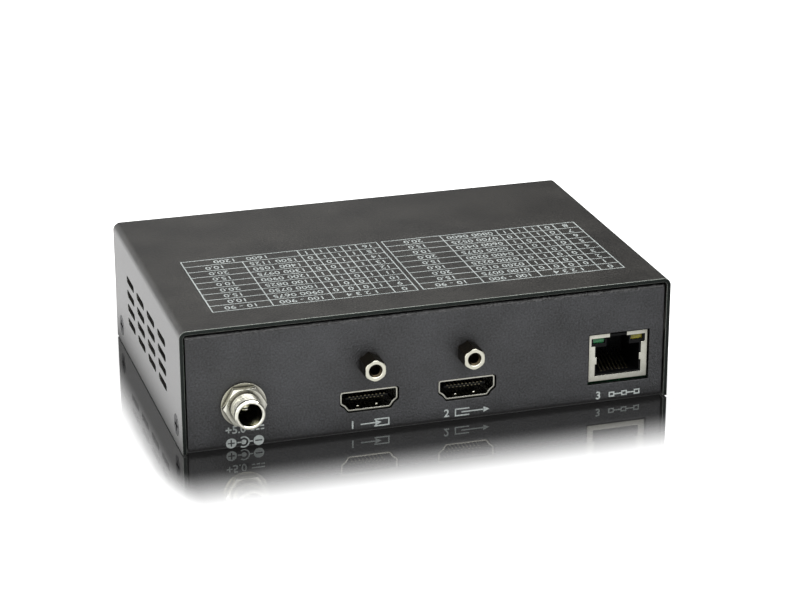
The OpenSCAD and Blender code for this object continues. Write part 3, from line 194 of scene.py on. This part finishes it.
finishes = {
    # Powder coat on the folded cover: dark warm grey, matt, with a fine sandy grain. The real grain is about
    # 0.2 mm and is drawn coarser, so that it shows. Its edges carry a pale painted highlight, and the
    # sheet's cut ends are drawn as near-black metal
    "cover_paint": finish("fine_textured_powder_coat", "#151413", "#42403c", size=0.5, rough=(0.4, 0.52),
                          bump=0.08, edge=0.25, band=(cover_high.y, CUT_END, "#2f3331"), bare=True,
                          edge_shading="#959a94", **{"Coat Roughness": 0.22}),
    # The tray's coat is the same kind in a cooler near-black, with a stronger sheen. Painted shade makes it
    # black in the openings' cut edges, round the bends and in the corners
    "tray_paint": finish("near_black_powder_coat", "#000000", "#404144", size=0.5, rough=(0.32, 0.5),
                         bump=0.14, edge=0.2,
                         band=(tray_high.y - (BEND + SKIN) / 2, (BEND - SKIN) / 2, "#020202"),
                         corners=(5, "#020202"), IOR=1.65),
    # Black zinc on the cover screws: dark, with a soft metallic glint and painted shade along the edges
    "black_steel": finish("black_zinc_plating", "#1c1c1e", "#38383c", size=0.5, rough=(0.25, 0.4),
                          bump=0.005, edge=0.3, edge_shading="#020202", **METAL),
    # Zinc or tin plating inside the case: pale, a little cloudy
    "plated_steel": finish("bright_zinc_plating", "#a9adb0", "#cfd2d3", size=0.8, rough=(0.2, 0.34),
                           bump=0.004, **METAL),
    # Nickel on all that shows on the connector panel: bright, with a pale cream tone and painted shade in
    # the corners
    "nickel": finish("bright_nickel_plating", "#e8e7d8", "#faf9ee", size=1.1, rough=(0.16, 0.19),
                     bump=0.002, edge=0.05, corners=(2, "#3a3426"), **METAL),
    # Gold flash on the contacts, a little dulled
    "gold_contact": finish("gold_flashed_bronze", "#8b8468", "#b5ae94", size=0.6, rough=(0.25, 0.35),
                           bump=0.002, edge=0.03, **METAL),
    # Moulded housings of the sockets and the jack: deep black with a faint sheen
    "black_plastic": finish("moulded_black_polyester", "#020203", "#0a0a0c", size=0.5, rough=(0.36, 0.5),
                            bump=0.006, IOR=1.3),
    # The address switch's cover: moulded, satin red
    "red_plastic": finish("moulded_red_polyester", "#7c1512", "#9c2420", size=0.6, rough=(0.3, 0.42),
                          bump=0.006),
    # Its sliders: moulded, milky white
    "white_plastic": finish("moulded_white_nylon", "#d8d5ca", "#efece2", size=0.6, rough=(0.3, 0.44),
                            bump=0.005, edge=0.06),
    # Unlit light bars of the network socket: clear tinted resin that looks deep and glossy
    "green_light": finish("green_tinted_resin", "#0f6234", "#2c9c5c", size=1.6, rough=(0.12, 0.2),
                          bump=0.003, **TINTED_RESIN),
    "yellow_light": finish("yellow_tinted_resin", "#6c650f", "#a89e2a", size=1.6, rough=(0.12, 0.2),
                           bump=0.003, **TINTED_RESIN),
    # The status lights at the rear: frosted pale resin
    "clear_light": finish("frosted_clear_resin", "#b7c4b4", "#e4ece0", size=1.2, rough=(0.14, 0.26),
                          bump=0.003, **{"Transmission Weight": 0.35}),
    # Moulded chip bodies: matt charcoal with the mould's fine erosion
    "chip_resin": finish("moulded_chip_epoxy", "#141517", "#26272a", size=0.3, rough=(0.5, 0.66),
                         bump=0.008, edge=0.05),
    # The heat pad under the heat sink: soft grey silicone
    "soft_pad": finish("grey_silicone_pad", "#7b8794", "#97a3ae", size=0.7, rough=(0.6, 0.8), bump=0.02),
    # The heat sink: black anodised, with a dull metallic sheen
    "black_aluminium": finish("black_anodised_aluminium", "#131417", "#2a2b2f", size=0.4,
                              rough=(0.34, 0.48), bump=0.006, **METAL),
    # Capacitor cans: drawn and bright
    "bare_aluminium": finish("drawn_aluminium", "#b3b6ba", "#dcdee0", size=0.9, rough=(0.16, 0.3),
                             bump=0.003, **METAL),
    # Pressed ferrite of the inductors: dark and dusty
    "grey_ferrite": finish("pressed_grey_ferrite", "#2b2b2e", "#4a4a4e", size=0.25, rough=(0.6, 0.78),
                           bump=0.02),
    # The input fuse: dipped green resin
    "green_resin": finish("dipped_green_resin", "#33451c", "#4f6a2c", size=0.8, rough=(0.3, 0.45),
                          bump=0.01),
    # Small capacitors: fired tan ceramic
    "tan_ceramic": finish("fired_tan_ceramic", "#8a6c48", "#b59468", size=0.3, rough=(0.4, 0.55),
                          bump=0.006, edge=0.03),
    # Screen printing on the coat: flat light grey ink, a little uneven where the grain shows through
    "print_ink": finish("light_grey_screen_ink", "#8f9694", "#b9bfbd", size=0.4, rough=(0.45, 0.6),
                        bump=0.01, edge=0.01),
}


def circuit_board():
    """Green solder mask over copper: paler lines where tracks run under the glossy mask."""
    material, tree = new_material("green_solder_mask")
    place = add(tree, "TexCoord").outputs["Object"]
    # The pattern's unit is 9.6 mm: tracks are 0.3 to 0.5 mm wide and 2.4 mm apart
    tracks = add(tree, "TexBrick", {
        "Color1": linear("#0d3a20"), "Color2": linear("#0b2e1b"), "Mortar": linear("#1c5a34"),
        "Scale": 1 / (9.6 * MM), "Mortar Size": 0.018, "Brick Width": 0.9, "Row Height": 0.25,
    }, {"Vector": place})
    # Darker clouds, up to about a third, where the mask is thick
    tint = grain(tree, place, 6)
    shade = add(tree, "Math", {1: 0.35}, {0: tint}, operation="MULTIPLY").outputs[0]
    colour = add(tree, "Mix", {COLOUR_2: linear("#072214")},
                 {SHARE: shade, COLOUR_1: tracks.outputs["Color"]}, data_type="RGBA").outputs[COLOUR]
    roughness = add(tree, "MapRange", {"To Min": 0.26, "To Max": 0.36}, {"Value": tint}).outputs[0]
    softened = add(tree, "Bevel", {"Radius": 0.08 * MM}, samples=4).outputs[0]
    height = add(tree, "Bump", {"Strength": 0.4, "Distance": 0.03 * MM},
                 {"Height": tracks.outputs["Fac"], "Normal": softened})
    shader = add(tree, "BsdfPrincipled", {"Coat Weight": 0.4}, {
        "Base Color": colour, "Roughness": roughness, "Normal": height.outputs[0],
    })
    add(tree, "OutputMaterial", links={"Surface": shader.outputs[0]})
    return material


finishes["circuit_board"] = circuit_board()

# The lock posts' nickel is painted as a lit and a shaded copy: bright on the flat ends only, and dark brown
# on its sides and bores as painted shade and a painted dark reflection
own_finishes = {
    "lock_posts": finish("nickel_painted_lit_and_shaded", "#2a251d", "#4a4234", size=0.8, rough=(0.3, 0.42),
                         bump=0.004, edge=0.05, band=(-posts_low.y, POST_END, "#e4e2d2"), **METAL),
}

for part in frame["record"]["subparts"]:
    mesh = frame["nodes"][part["node"]].data
    mesh.materials.clear()
    mesh.materials.append(own_finishes.get(part["node"], finishes[part["material_slot"]]))


# Printed marks: flat plates of ink, drawn in millimetres and laid on the coat

# Thickness of the ink
INK = 0.03
# Steps in a curve of a figure and in a full circle
TEXT_STEPS = 3
CIRCLE_STEPS = 32
# Height of a figure, as a share of the font's size
FIGURE_SHARE = 0.73


def as_mesh(data):
    """The mesh of a text or a flat curve, closed and with its faces outwards."""
    drawn = bpy.data.objects.new("drawn", data)
    bpy.context.scene.collection.objects.link(drawn)
    found = drawn.evaluated_get(bpy.context.evaluated_depsgraph_get())
    mesh = bpy.data.meshes.new_from_object(found)
    bpy.data.objects.remove(drawn)
    return mesh


def text(body, height, middle, bold):
    """A line of figures of that height, centred on middle. bold widens their strokes on each side."""
    curve = bpy.data.curves.new("figures", "FONT")
    curve.body = body
    curve.size = height / FIGURE_SHARE
    curve.align_x = "CENTER"
    curve.align_y = "CENTER"
    curve.extrude = INK / 2
    curve.offset = bold
    curve.resolution_u = TEXT_STEPS
    return as_mesh(curve), middle


def plate(*outlines):
    """A flat plate from closed outlines, where one inside another is a hole."""
    curve = bpy.data.curves.new("plate", "CURVE")
    curve.dimensions = "2D"
    curve.fill_mode = "BOTH"
    curve.extrude = INK / 2
    for outline in outlines:
        spline = curve.splines.new("POLY")
        spline.points.add(len(outline) - 1)
        for point, (x, y) in zip(spline.points, outline):
            point.co = (x, y, 0, 1)
        spline.use_cyclic_u = True
    return as_mesh(curve), (0, 0)


def rectangle(x0, y0, x1, y1):
    return [(x0, y0), (x1, y0), (x1, y1), (x0, y1)]


def level_bar(x0, x1, y, width):
    """A straight level stroke of that width, from x0 to x1."""
    return rectangle(x0, y - width / 2, x1, y + width / 2)


def arc(x, y, r, start, end):
    """Points along an arc, its angles in degrees."""
    steps = max(2, round(CIRCLE_STEPS * abs(end - start) / 360))
    angles = [math.radians(start + (end - start) * i / steps) for i in range(steps + 1)]
    return [(x + r * math.cos(a), y + r * math.sin(a)) for a in angles]


def disc(x, y, r):
    return arc(x, y, r, 0, 360)[:-1]


def arc_band(x, y, r, start, end, width):
    """A stroke along an arc."""
    return arc(x, y, r + width / 2, start, end) + arc(x, y, r - width / 2, end, start)


def plus(x, y, reach, width):
    """The outline of a plus sign."""
    h = width / 2
    corners = [(h, h), (h, reach), (-h, reach), (-h, h), (-reach, h), (-reach, -h),
               (-h, -h), (-h, -reach), (h, -reach), (h, -h), (reach, -h), (reach, h)]
    return [(x + a, y + b) for a, b in corners]


def lay(name, marks, surface):
    """Joins the marks to one piece and lays them on a surface of the case."""
    shape = bmesh.new()
    for mesh, middle in marks:
        before = len(shape.verts)
        shape.from_mesh(mesh)
        shape.verts.ensure_lookup_table()
        bmesh.ops.translate(shape, verts=shape.verts[before:], vec=(middle[0], middle[1], 0))
        bpy.data.meshes.remove(mesh)
    bmesh.ops.remove_doubles(shape, verts=shape.verts, dist=INK / 100)
    bmesh.ops.recalc_face_normals(shape, faces=shape.faces)
    bmesh.ops.transform(shape, matrix=surface @ Matrix.Diagonal((MM, MM, MM, 1)), verts=shape.verts)
    mesh = bpy.data.meshes.new(name)
    shape.to_mesh(mesh)
    shape.free()
    mesh.materials.append(finishes["print_ink"])
    piece = bpy.data.objects.new(name, mesh)
    bpy.context.scene.collection.objects.link(piece)
    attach(piece, "case")


# The ink stands half its thickness out of the surface. Each surface's X and Y run as its marks are read
on_top = Matrix.Translation((0, 0, cover_high.z)) @ Matrix.Rotation(math.pi, 4, "Z")
on_front = Matrix.Translation((0, tray_low.y, 0)) @ Matrix.Rotation(math.pi / 2, 4, "X")
on_rear = (Matrix.Translation((0, tray_high.y, 0)) @ Matrix.Rotation(math.pi, 4, "Z")
           @ Matrix.Rotation(math.pi / 2, 4, "X"))


# The table on the cover is read from behind the case, so its X runs against the case's X

# Width of its lines, height of a row, and rows below the heading
LINE = 0.32
ROW = 4.19
TABLE_ROWS = 8
# Place of its upper line
TABLE_TOP = 31.7
# Height and boldness of its figures
FIGURE = 2.25
FIGURE_BOLD = 0.03


def table_cells(row, merged):
    """The cells of a row, each from one of the block's eight upright lines to another."""
    if row == 0:
        # The heading has one cell over the four figures
        return [(0, 1), (1, 5), (5, 6), (6, 7)]
    if merged:
        return [(i, i + 1) for i in range(5)] + [(5, 7)]
    return [(i, i + 1) for i in range(7)]


def table_words(row, n, merged):
    """What the cells say: the row's number, the four figures that set it, and made-up plain numbers."""
    if row == 0:
        return ["0", "1 2 3 4", "100 - 900", "10 - 90"]
    words = [str(n)] + list(format(n - 1, "04b"))
    if merged:
        return words + ["%04d   %04d" % (100 * n, 75 * n)]
    return words + ["%04d %04d" % (100 * n, 75 * n), "%d.0" % (10 + 5 * (n % 3))]


def table_block(left, number_w, figures_w, wide_1, wide_2, first, merged_last):
    """One of the table's two blocks: its cells as rectangles, and the figures in them.
    left is the place of its first upright line, and the widths follow to the next lines. Its rows
    count from first. The last row's two wide cells are one where merged_last is true."""
    lines = [left, left + number_w]
    lines += [lines[1] + figures_w * (i + 1) / SLIDERS for i in range(SLIDERS)]
    lines += [lines[5] + wide_1, lines[5] + wide_1 + wide_2]
    cells, marks = [], []
    for row in range(TABLE_ROWS + 1):
        high = TABLE_TOP - ROW * row
        low = high - ROW
        merged = merged_last and row == TABLE_ROWS
        for (a, b), word in zip(table_cells(row, merged), table_words(row, first + row - 1, merged)):
            x0, x1 = lines[a] + LINE / 2, lines[b] - LINE / 2
            cells.append(rectangle(x0, low + LINE / 2, x1, high - LINE / 2))
            marks.append(text(word, FIGURE, ((x0 + x1) / 2, (low + high) / 2), FIGURE_BOLD))
    outline = rectangle(lines[0] - LINE / 2, TABLE_TOP - ROW * (TABLE_ROWS + 1) - LINE / 2,
                        lines[-1] + LINE / 2, TABLE_TOP + LINE / 2)
    return plate(outline, *cells), marks


first_grid, first_figures = table_block(left=-55.9, number_w=6.3, figures_w=16.33, wide_1=15.74,
                                        wide_2=16.27, first=1, merged_last=False)
second_grid, second_figures = table_block(left=0.24, number_w=5.96, figures_w=15.92, wide_1=15.83,
                                          wide_2=15.55, first=9, merged_last=True)
lay("table_grid", [first_grid, second_grid], on_top)
lay("table_figures", first_figures + second_figures, on_top)


# Marks on the connector panel: figures, and signs that anyone may use

# Width of a stroke, and height and boldness of the figures
STROKE = 0.34
LABEL = 2.15
LABEL_BOLD = 0.06
# Heights of the volts, of the polarity sign, of the video sockets' marks and of the network socket's
VOLTS_Z = 5.15
POLARITY_Z = 1.68
VIDEO_Z = 2.5
NETWORK_Z = 2.25
# The sign for direct current: a dash, the gap to the next, and half the distance from them to the line
DASH = 0.9
DASH_GAP = 0.35
DASH_RISE = 0.45
# The polarity sign: the radius of its poles and its ring, of its middle contact, and the ring's end
# in degrees from the right
POLE_R = 1.35
CONTACT_R = 0.65
RING_END = 125
# Half the length and the width of the plus and the minus left open in its poles
SIGN_REACH = 0.9
SIGN_STROKE = 0.36
# Places in the polarity sign, from its middle contact to the right: the poles and the ends of the joins
PLUS_AT, MINUS_AT = -3.2, 3.84
PLUS_JOIN = (-1.65, -0.3)
MINUS_JOIN = (1.45, 2.3)
# An arrow's head, half the head's width, and how far its stroke runs into it
HEAD = 1.6
HEAD_HALF = 0.75
HEAD_LAP = 0.1
# Half the height of the box that an arrow points into or out of
BOX_HALF = 1.07
# The network's stations: their width, their height and the gap between two
STATION_W = 1.6
STATION_H = 1.4
STATION_GAP = 1.9
# Places of the marks, to the right of the middle of the socket over them: the volts, the dashes and
# the polarity sign's middle contact
VOLTS_AT, DASHES_AT, CONTACT_AT = -2.1, 1.8, -0.1
# The figure, the arrow and its tip, and the box's open and closed ends
IN_FIGURE_AT, IN_ARROW_AT, IN_TIP_AT, IN_OPEN_AT, IN_CLOSED_AT = -4.5, -2.4, 3.1, 1.2, 5.2
OUT_FIGURE_AT, OUT_ARROW_AT, OUT_TIP_AT, OUT_OPEN_AT, OUT_CLOSED_AT = -5.5, -1.5, 6.0, 0.6, -3.3
# The figure and the first station
NETWORK_FIGURE_AT, STATIONS_AT = -5.4, -2.5


def figure(body, x, z):
    return [text(body, LABEL, (x, z), LABEL_BOLD)]


def direct_current(x, z):
    """The sign for direct current from x to the right: a line over three dashes."""
    starts = [x + (DASH + DASH_GAP) * i for i in range(3)]
    line = plate(level_bar(x, starts[-1] + DASH, z + DASH_RISE, STROKE))
    return [line] + [plate(level_bar(x0, x0 + DASH, z - DASH_RISE, STROKE)) for x0 in starts]


def polarity(x, z):
    """The plug's polarity round its middle contact at x: a plus joined to the contact, and a minus
    joined to the ring round it, which is open to the left."""
    minus = level_bar(x + MINUS_AT - SIGN_REACH, x + MINUS_AT + SIGN_REACH, z, SIGN_STROKE)
    return [
        plate(disc(x + PLUS_AT, z, POLE_R), plus(x + PLUS_AT, z, SIGN_REACH, SIGN_STROKE)),
        plate(level_bar(x + PLUS_JOIN[0], x + PLUS_JOIN[1], z, STROKE)),
        plate(disc(x, z, CONTACT_R)),
        plate(arc_band(x, z, POLE_R, -RING_END, RING_END, STROKE)),
        plate(level_bar(x + MINUS_JOIN[0], x + MINUS_JOIN[1], z, STROKE)),
        plate(disc(x + MINUS_AT, z, POLE_R), minus),
    ]


def arrow(x, tip, z):
    """An arrow from x to its tip, to the right."""
    head = [(tip, z), (tip - HEAD, z + HEAD_HALF), (tip - HEAD, z - HEAD_HALF)]
    return [plate(level_bar(x, tip - HEAD + HEAD_LAP, z, STROKE)), plate(head)]


def open_box(open_x, closed_x, z):
    """A box of three strokes, open at open_x and closed at closed_x."""
    inner_x = closed_x - math.copysign(STROKE, closed_x - open_x)
    inner = BOX_HALF - STROKE
    return [plate([(open_x, z + BOX_HALF), (open_x, z + inner), (inner_x, z + inner), (inner_x, z - inner),
                   (open_x, z - inner), (open_x, z - BOX_HALF), (closed_x, z - BOX_HALF),
                   (closed_x, z + BOX_HALF)])]


def stations(x, z):
    """Three joined stations of a network, from x to the right."""
    low, high = z - STATION_H / 2, z + STATION_H / 2
    marks = []
    for i in range(3):
        x0 = x + (STATION_W + STATION_GAP) * i
        x1 = x0 + STATION_W
        if i > 0:
            marks.append(plate(level_bar(x0 - STATION_GAP, x0, z, STROKE)))
        marks.append(plate(rectangle(x0, low, x1, high),
                           rectangle(x0 + STROKE, low + STROKE, x1 - STROKE, high - STROKE)))
    return marks


def middle_x(node):
    """The middle of a node's width, in millimetres."""
    low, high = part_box(node)
    return (low.x + high.x) / 2 / MM


jack_x = middle_x("power_jack_housing")
video_in_x = middle_x("video_in_shell")
video_out_x = middle_x("video_out_shell")
network_x = middle_x("network_housing")

supply_marks = (figure("+5.0", jack_x + VOLTS_AT, VOLTS_Z) + direct_current(jack_x + DASHES_AT, VOLTS_Z)
                + polarity(jack_x + CONTACT_AT, POLARITY_Z))
video_in_marks = (figure("1", video_in_x + IN_FIGURE_AT, VIDEO_Z)
                  + arrow(video_in_x + IN_ARROW_AT, video_in_x + IN_TIP_AT, VIDEO_Z)
                  + open_box(video_in_x + IN_OPEN_AT, video_in_x + IN_CLOSED_AT, VIDEO_Z))
video_out_marks = (figure("2", video_out_x + OUT_FIGURE_AT, VIDEO_Z)
                   + open_box(video_out_x + OUT_OPEN_AT, video_out_x + OUT_CLOSED_AT, VIDEO_Z)
                   + arrow(video_out_x + OUT_ARROW_AT, video_out_x + OUT_TIP_AT, VIDEO_Z))
network_marks = (figure("3", network_x + NETWORK_FIGURE_AT, NETWORK_Z)
                 + stations(network_x + STATIONS_AT, NETWORK_Z))
lay("panel_labels", supply_marks + video_in_marks + video_out_marks + network_marks, on_front)


# Marks at the rear: figures beside the switch's sliders and the two lights. X runs against the case's X

# Height and boldness of the switch's figures
SWITCH_LABEL = 1.5
SWITCH_BOLD = 0.02
# Distance between two sliders, and of the figures above and below the switch's middle
SLIDER_PITCH = 2.54
SWITCH_RISE = 3.3
# Distance of the word at the upper end from the switch's middle
ON_SIDE = 3.6
# Radius of a status light, and how far above the lights and how bold their figures are
LIGHT_R = 1.5
LIGHT_RISE = 2.2
LIGHT_BOLD = 0.03

switch_low, switch_high = (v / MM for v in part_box("address_switch_cover"))
switch_x = -(switch_low.x + switch_high.x) / 2
switch_z = (switch_low.z + switch_high.z) / 2
rear_marks = [text("ON", SWITCH_LABEL, (switch_x - ON_SIDE, switch_z + SWITCH_RISE), SWITCH_BOLD)]
for slider in range(SLIDERS):
    place = (switch_x + (slider - (SLIDERS - 1) / 2) * SLIDER_PITCH, switch_z - SWITCH_RISE)
    rear_marks.append(text(str(slider + 1), SWITCH_LABEL, place, SWITCH_BOLD))
lights_low, lights_high = (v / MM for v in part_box("status_lights"))
for number, x in (("1", -(lights_high.x - LIGHT_R)), ("2", -(lights_low.x + LIGHT_R))):
    rear_marks.append(text(number, LABEL, (x, lights_high.z + LIGHT_RISE), LIGHT_BOLD))
lay("rear_labels", rear_marks, on_rear)


# Floor: white, with a mirrored strip near the case that fades out, as on a polished white table

# Heights in millimetres, just under the case, and side in metres
FLOOR_Z = -0.05
FILM_Z = -0.02
FLOOR_SIDE = 6.0
# The share of the light that the floor's mirror gives back
MIRROR = 0.36
# The mirrored strip is whole this far before the case, and gone at the second distance
STRIP_WHOLE = 9 * MM
STRIP_GONE = 46 * MM
# In the object's gloss the floor's painted shade fades out over this distance from the case
SHADE_FADE_OVER = 38 * MM
# Beside the case the strip fades and the floor's painted shade fades out this many times as fast as before
# it
STRIP_SIDE = 3.3
SHADE_FADE_SIDE = 7
# In the object's gloss a painted shade darkens the floor to the right, from the first place to the second
RIGHT_FROM = 35 * MM
RIGHT_WHOLE = 90 * MM


def level_sheet(name, z, material):
    """A flat square of the set at height z, not part of the object."""
    shape = bmesh.new()
    bmesh.ops.create_grid(shape, x_segments=1, y_segments=1, size=FLOOR_SIDE / 2)
    bmesh.ops.translate(shape, verts=shape.verts, vec=(0, 0, z * MM))
    mesh = bpy.data.meshes.new(name)
    shape.to_mesh(mesh)
    shape.free()
    mesh.materials.append(material)
    sheet = bpy.data.objects.new(name, mesh)
    bpy.context.scene.collection.objects.link(sheet)


def glossy_or_through(tree, path):
    """A share that is 1 for what a surface mirrors or lets through, and 0 for all else."""
    seen = {0: path.outputs["Is Glossy Ray"], 1: path.outputs["Is Transmission Ray"]}
    return add(tree, "Math", links=seen, operation="MAXIMUM").outputs[0]


def distance_from_case(tree, place, side):
    """How far a place on the floor is from the case's outline, counted side times as far beside it."""
    apart = add(tree, "VectorMath", links={0: place}, operation="ABSOLUTE")
    edge = Vector((max(-cover_low.x, cover_high.x), max(-cover_low.y, cover_high.y), 0))
    beyond = add(tree, "VectorMath", {1: edge}, {0: apart.outputs[0]}, operation="SUBTRACT")
    outside = add(tree, "VectorMath", {1: (0, 0, 0)}, {0: beyond.outputs[0]}, operation="MAXIMUM")
    scaled = add(tree, "VectorMath", {1: (side, 1, 0)}, {0: outside.outputs[0]}, operation="MULTIPLY")
    return add(tree, "VectorMath", links={0: scaled.outputs[0]}, operation="LENGTH").outputs["Value"]


def polished_floor():
    material, tree = new_material("polished_white_floor")
    place = add(tree, "TexCoord").outputs["Object"]
    path = add(tree, "LightPath")
    # What the camera sees: the mirrored strip, and plain white with the object's faint shadow
    mirrored = add(tree, "MapRange", {"From Min": STRIP_WHOLE, "From Max": STRIP_GONE, "To Min": 0.995,
                                      "To Max": 0.0},
                   {"Value": distance_from_case(tree, place, STRIP_SIDE)}, interpolation_type="SMOOTHSTEP")
    soft = add(tree, "BsdfDiffuse", {"Color": linear("#a0a0a0")})
    glow = add(tree, "Emission", {"Color": WHITE, "Strength": 0.8})
    plain = add(tree, "AddShader", links={0: soft.outputs[0], 1: glow.outputs[0]})
    mirror = add(tree, "BsdfGlossy", {"Color": (MIRROR, MIRROR, MIRROR, 1), "Roughness": 0.03})
    strip = add(tree, "MixShader", links={0: mirrored.outputs[0], 1: plain.outputs[0], 2: mirror.outputs[0]})
    # What the object's gloss shows of the floor: a painted shade, dark under the case's edge and white
    # further out, and a painted shade that darkens it to the right of the case
    bright = add(tree, "MapRange", {"From Min": 0.0, "From Max": SHADE_FADE_OVER, "To Min": 0.22, "To Max": 1.0},
                 {"Value": distance_from_case(tree, place, SHADE_FADE_SIDE)})
    x = add(tree, "SeparateXYZ", links={0: place}).outputs["X"]
    painted_shade_rightward = add(tree, "MapRange", {"From Min": RIGHT_FROM, "From Max": RIGHT_WHOLE, "To Min": 1.0,
                                       "To Max": 0.45}, {"Value": x}, interpolation_type="SMOOTHSTEP")
    painted_floor_shade = add(tree, "Math", links={0: bright.outputs[0], 1: painted_shade_rightward.outputs[0]}, operation="MULTIPLY")
    shown = add(tree, "Emission", {"Color": WHITE}, {"Strength": painted_floor_shade.outputs[0]})
    shine = glossy_or_through(tree, path)
    # The light on the object comes from a plain white floor
    lit = add(tree, "BsdfDiffuse", {"Color": linear("#f4f4f4")})
    other = add(tree, "MixShader", links={0: shine, 1: lit.outputs[0], 2: shown.outputs[0]})
    whole = add(tree, "MixShader", links={0: path.outputs["Is Camera Ray"], 1: other.outputs[0],
                                          2: strip.outputs[0]})
    add(tree, "OutputMaterial", links={"Surface": whole.outputs[0]})
    return material


def clear_film():
    """A clear film over the floor, so that the set's light tells the floor's mirror from the object's."""
    material, tree = new_material("clear_film")
    clear = add(tree, "BsdfTransparent")
    add(tree, "OutputMaterial", links={"Surface": clear.outputs[0]})
    return material


level_sheet("floor", FLOOR_Z, polished_floor())
level_sheet("floor_film", FILM_Z, clear_film())


# Light

def studio_light():
    """A dim room round the lit floor, and plain white to the camera."""
    world = bpy.data.worlds.new("studio")
    bpy.context.scene.world = world
    world.use_nodes = True
    tree = world.node_tree
    tree.nodes.clear()
    path = add(tree, "LightPath")
    shine = glossy_or_through(tree, path)
    # What the floor mirrors straight to the camera has passed the film and turned once. The world
    # counts a ray one deeper than a surface does
    filmed = add(tree, "Math", {1: 0.5}, {0: path.outputs["Transparent Depth"]}, operation="GREATER_THAN")
    first = add(tree, "Math", {1: 2.5}, {0: path.outputs["Ray Depth"]}, operation="LESS_THAN")
    from_floor = add(tree, "Math", links={0: filmed.outputs[0], 1: first.outputs[0]}, operation="MULTIPLY")
    white = add(tree, "Math", links={0: from_floor.outputs[0], 1: path.outputs["Is Camera Ray"]},
                operation="MAXIMUM")
    # The object's gloss shows a room that is palest on the left, darkest on the right and brighter
    # before the case than behind it. Each range is a share of the direction's length
    direction = add(tree, "TexCoord").outputs["Generated"]
    apart = add(tree, "SeparateXYZ", links={0: direction})
    left = add(tree, "MapRange", {"From Min": -0.25, "From Max": 0.05, "To Min": 0.5, "To Max": 0.22},
               {"Value": apart.outputs["X"]}, interpolation_type="SMOOTHSTEP")
    right = add(tree, "MapRange", {"From Min": 0.26, "From Max": 0.36, "To Min": 1.0, "To Max": 0.3},
                {"Value": apart.outputs["X"]}, interpolation_type="SMOOTHSTEP")
    aside = add(tree, "Math", links={0: left.outputs[0], 1: right.outputs[0]}, operation="MULTIPLY")
    before = add(tree, "MapRange", {"From Min": -0.6, "From Max": 0.4, "To Min": 3.2, "To Max": 1.0},
                 {"Value": apart.outputs["Y"]}, interpolation_type="SMOOTHSTEP")
    dim = add(tree, "Math", links={0: aside.outputs[0], 1: before.outputs[0]}, operation="MULTIPLY")
    room = add(tree, "Mix", {VALUE_1: 0.35}, {SHARE: shine, VALUE_2: dim.outputs[0]}, data_type="FLOAT")
    # The white that the floor mirrors is brighter, so that it stays white in the dimmer mirror
    plain = add(tree, "Mix", {VALUE_1: 1.0, VALUE_2: 1 / MIRROR}, {SHARE: from_floor.outputs[0]},
                data_type="FLOAT")
    strength = add(tree, "Mix", links={SHARE: white.outputs[0], VALUE_1: room.outputs[VALUE],
                                       VALUE_2: plain.outputs[VALUE]}, data_type="FLOAT")
    sky = add(tree, "Background", {"Color": WHITE}, {"Strength": strength.outputs[VALUE]})
    add(tree, "OutputWorld", links={"Surface": sky.outputs[0]})


def lamp(name, place, target, size, watts):
    """A soft rectangular lamp, in metres, that faces its target."""
    light = bpy.data.lights.new(name, "AREA")
    light.shape = "RECTANGLE"
    light.size, light.size_y = size
    light.energy = watts
    shown = bpy.data.objects.new(name, light)
    shown.location = place
    shown.rotation_euler = (Vector(target) - Vector(place)).to_track_quat("-Z", "Y").to_euler()
    shown.visible_camera = False
    bpy.context.scene.collection.objects.link(shown)


studio_light()
lamp("front_softbox", place=(0.35, -0.55, 1.05), target=(0, 0, 0.01), size=(1.5, 1.2), watts=8.0)
lamp("left_softbox", place=(-1.0, -0.1, 0.75), target=(0, 0, 0.02), size=(0.8, 0.8), watts=4.0)


# Camera: solved from the case's corners in the photo

# Its place in millimetres, and what lies to the right of the view and behind the viewer
VIEW_PLACE = (-175.848, -594.818, 255.391)
VIEW_RIGHT = (0.95670, -0.29106, -0.00209)
VIEW_BACK = (-0.27121, -0.89404, 0.35657)
LENS = 111.82
SENSOR = 36.0

camera = bpy.data.cameras.new("camera")
camera.lens = LENS
camera.sensor_width = SENSOR
camera.sensor_fit = "HORIZONTAL"
camera.clip_start = 0.01
camera.clip_end = 20.0
viewer = bpy.data.objects.new("camera", camera)
bpy.context.scene.collection.objects.link(viewer)
right = Vector(VIEW_RIGHT).normalized()
back = Vector(VIEW_BACK).normalized()
turn = Matrix((right, back.cross(right), back)).transposed().to_4x4()
viewer.matrix_world = Matrix.Translation([v * MM for v in VIEW_PLACE]) @ turn
bpy.context.scene.camera = viewer

bpy.context.scene.view_settings.view_transform = "Standard"
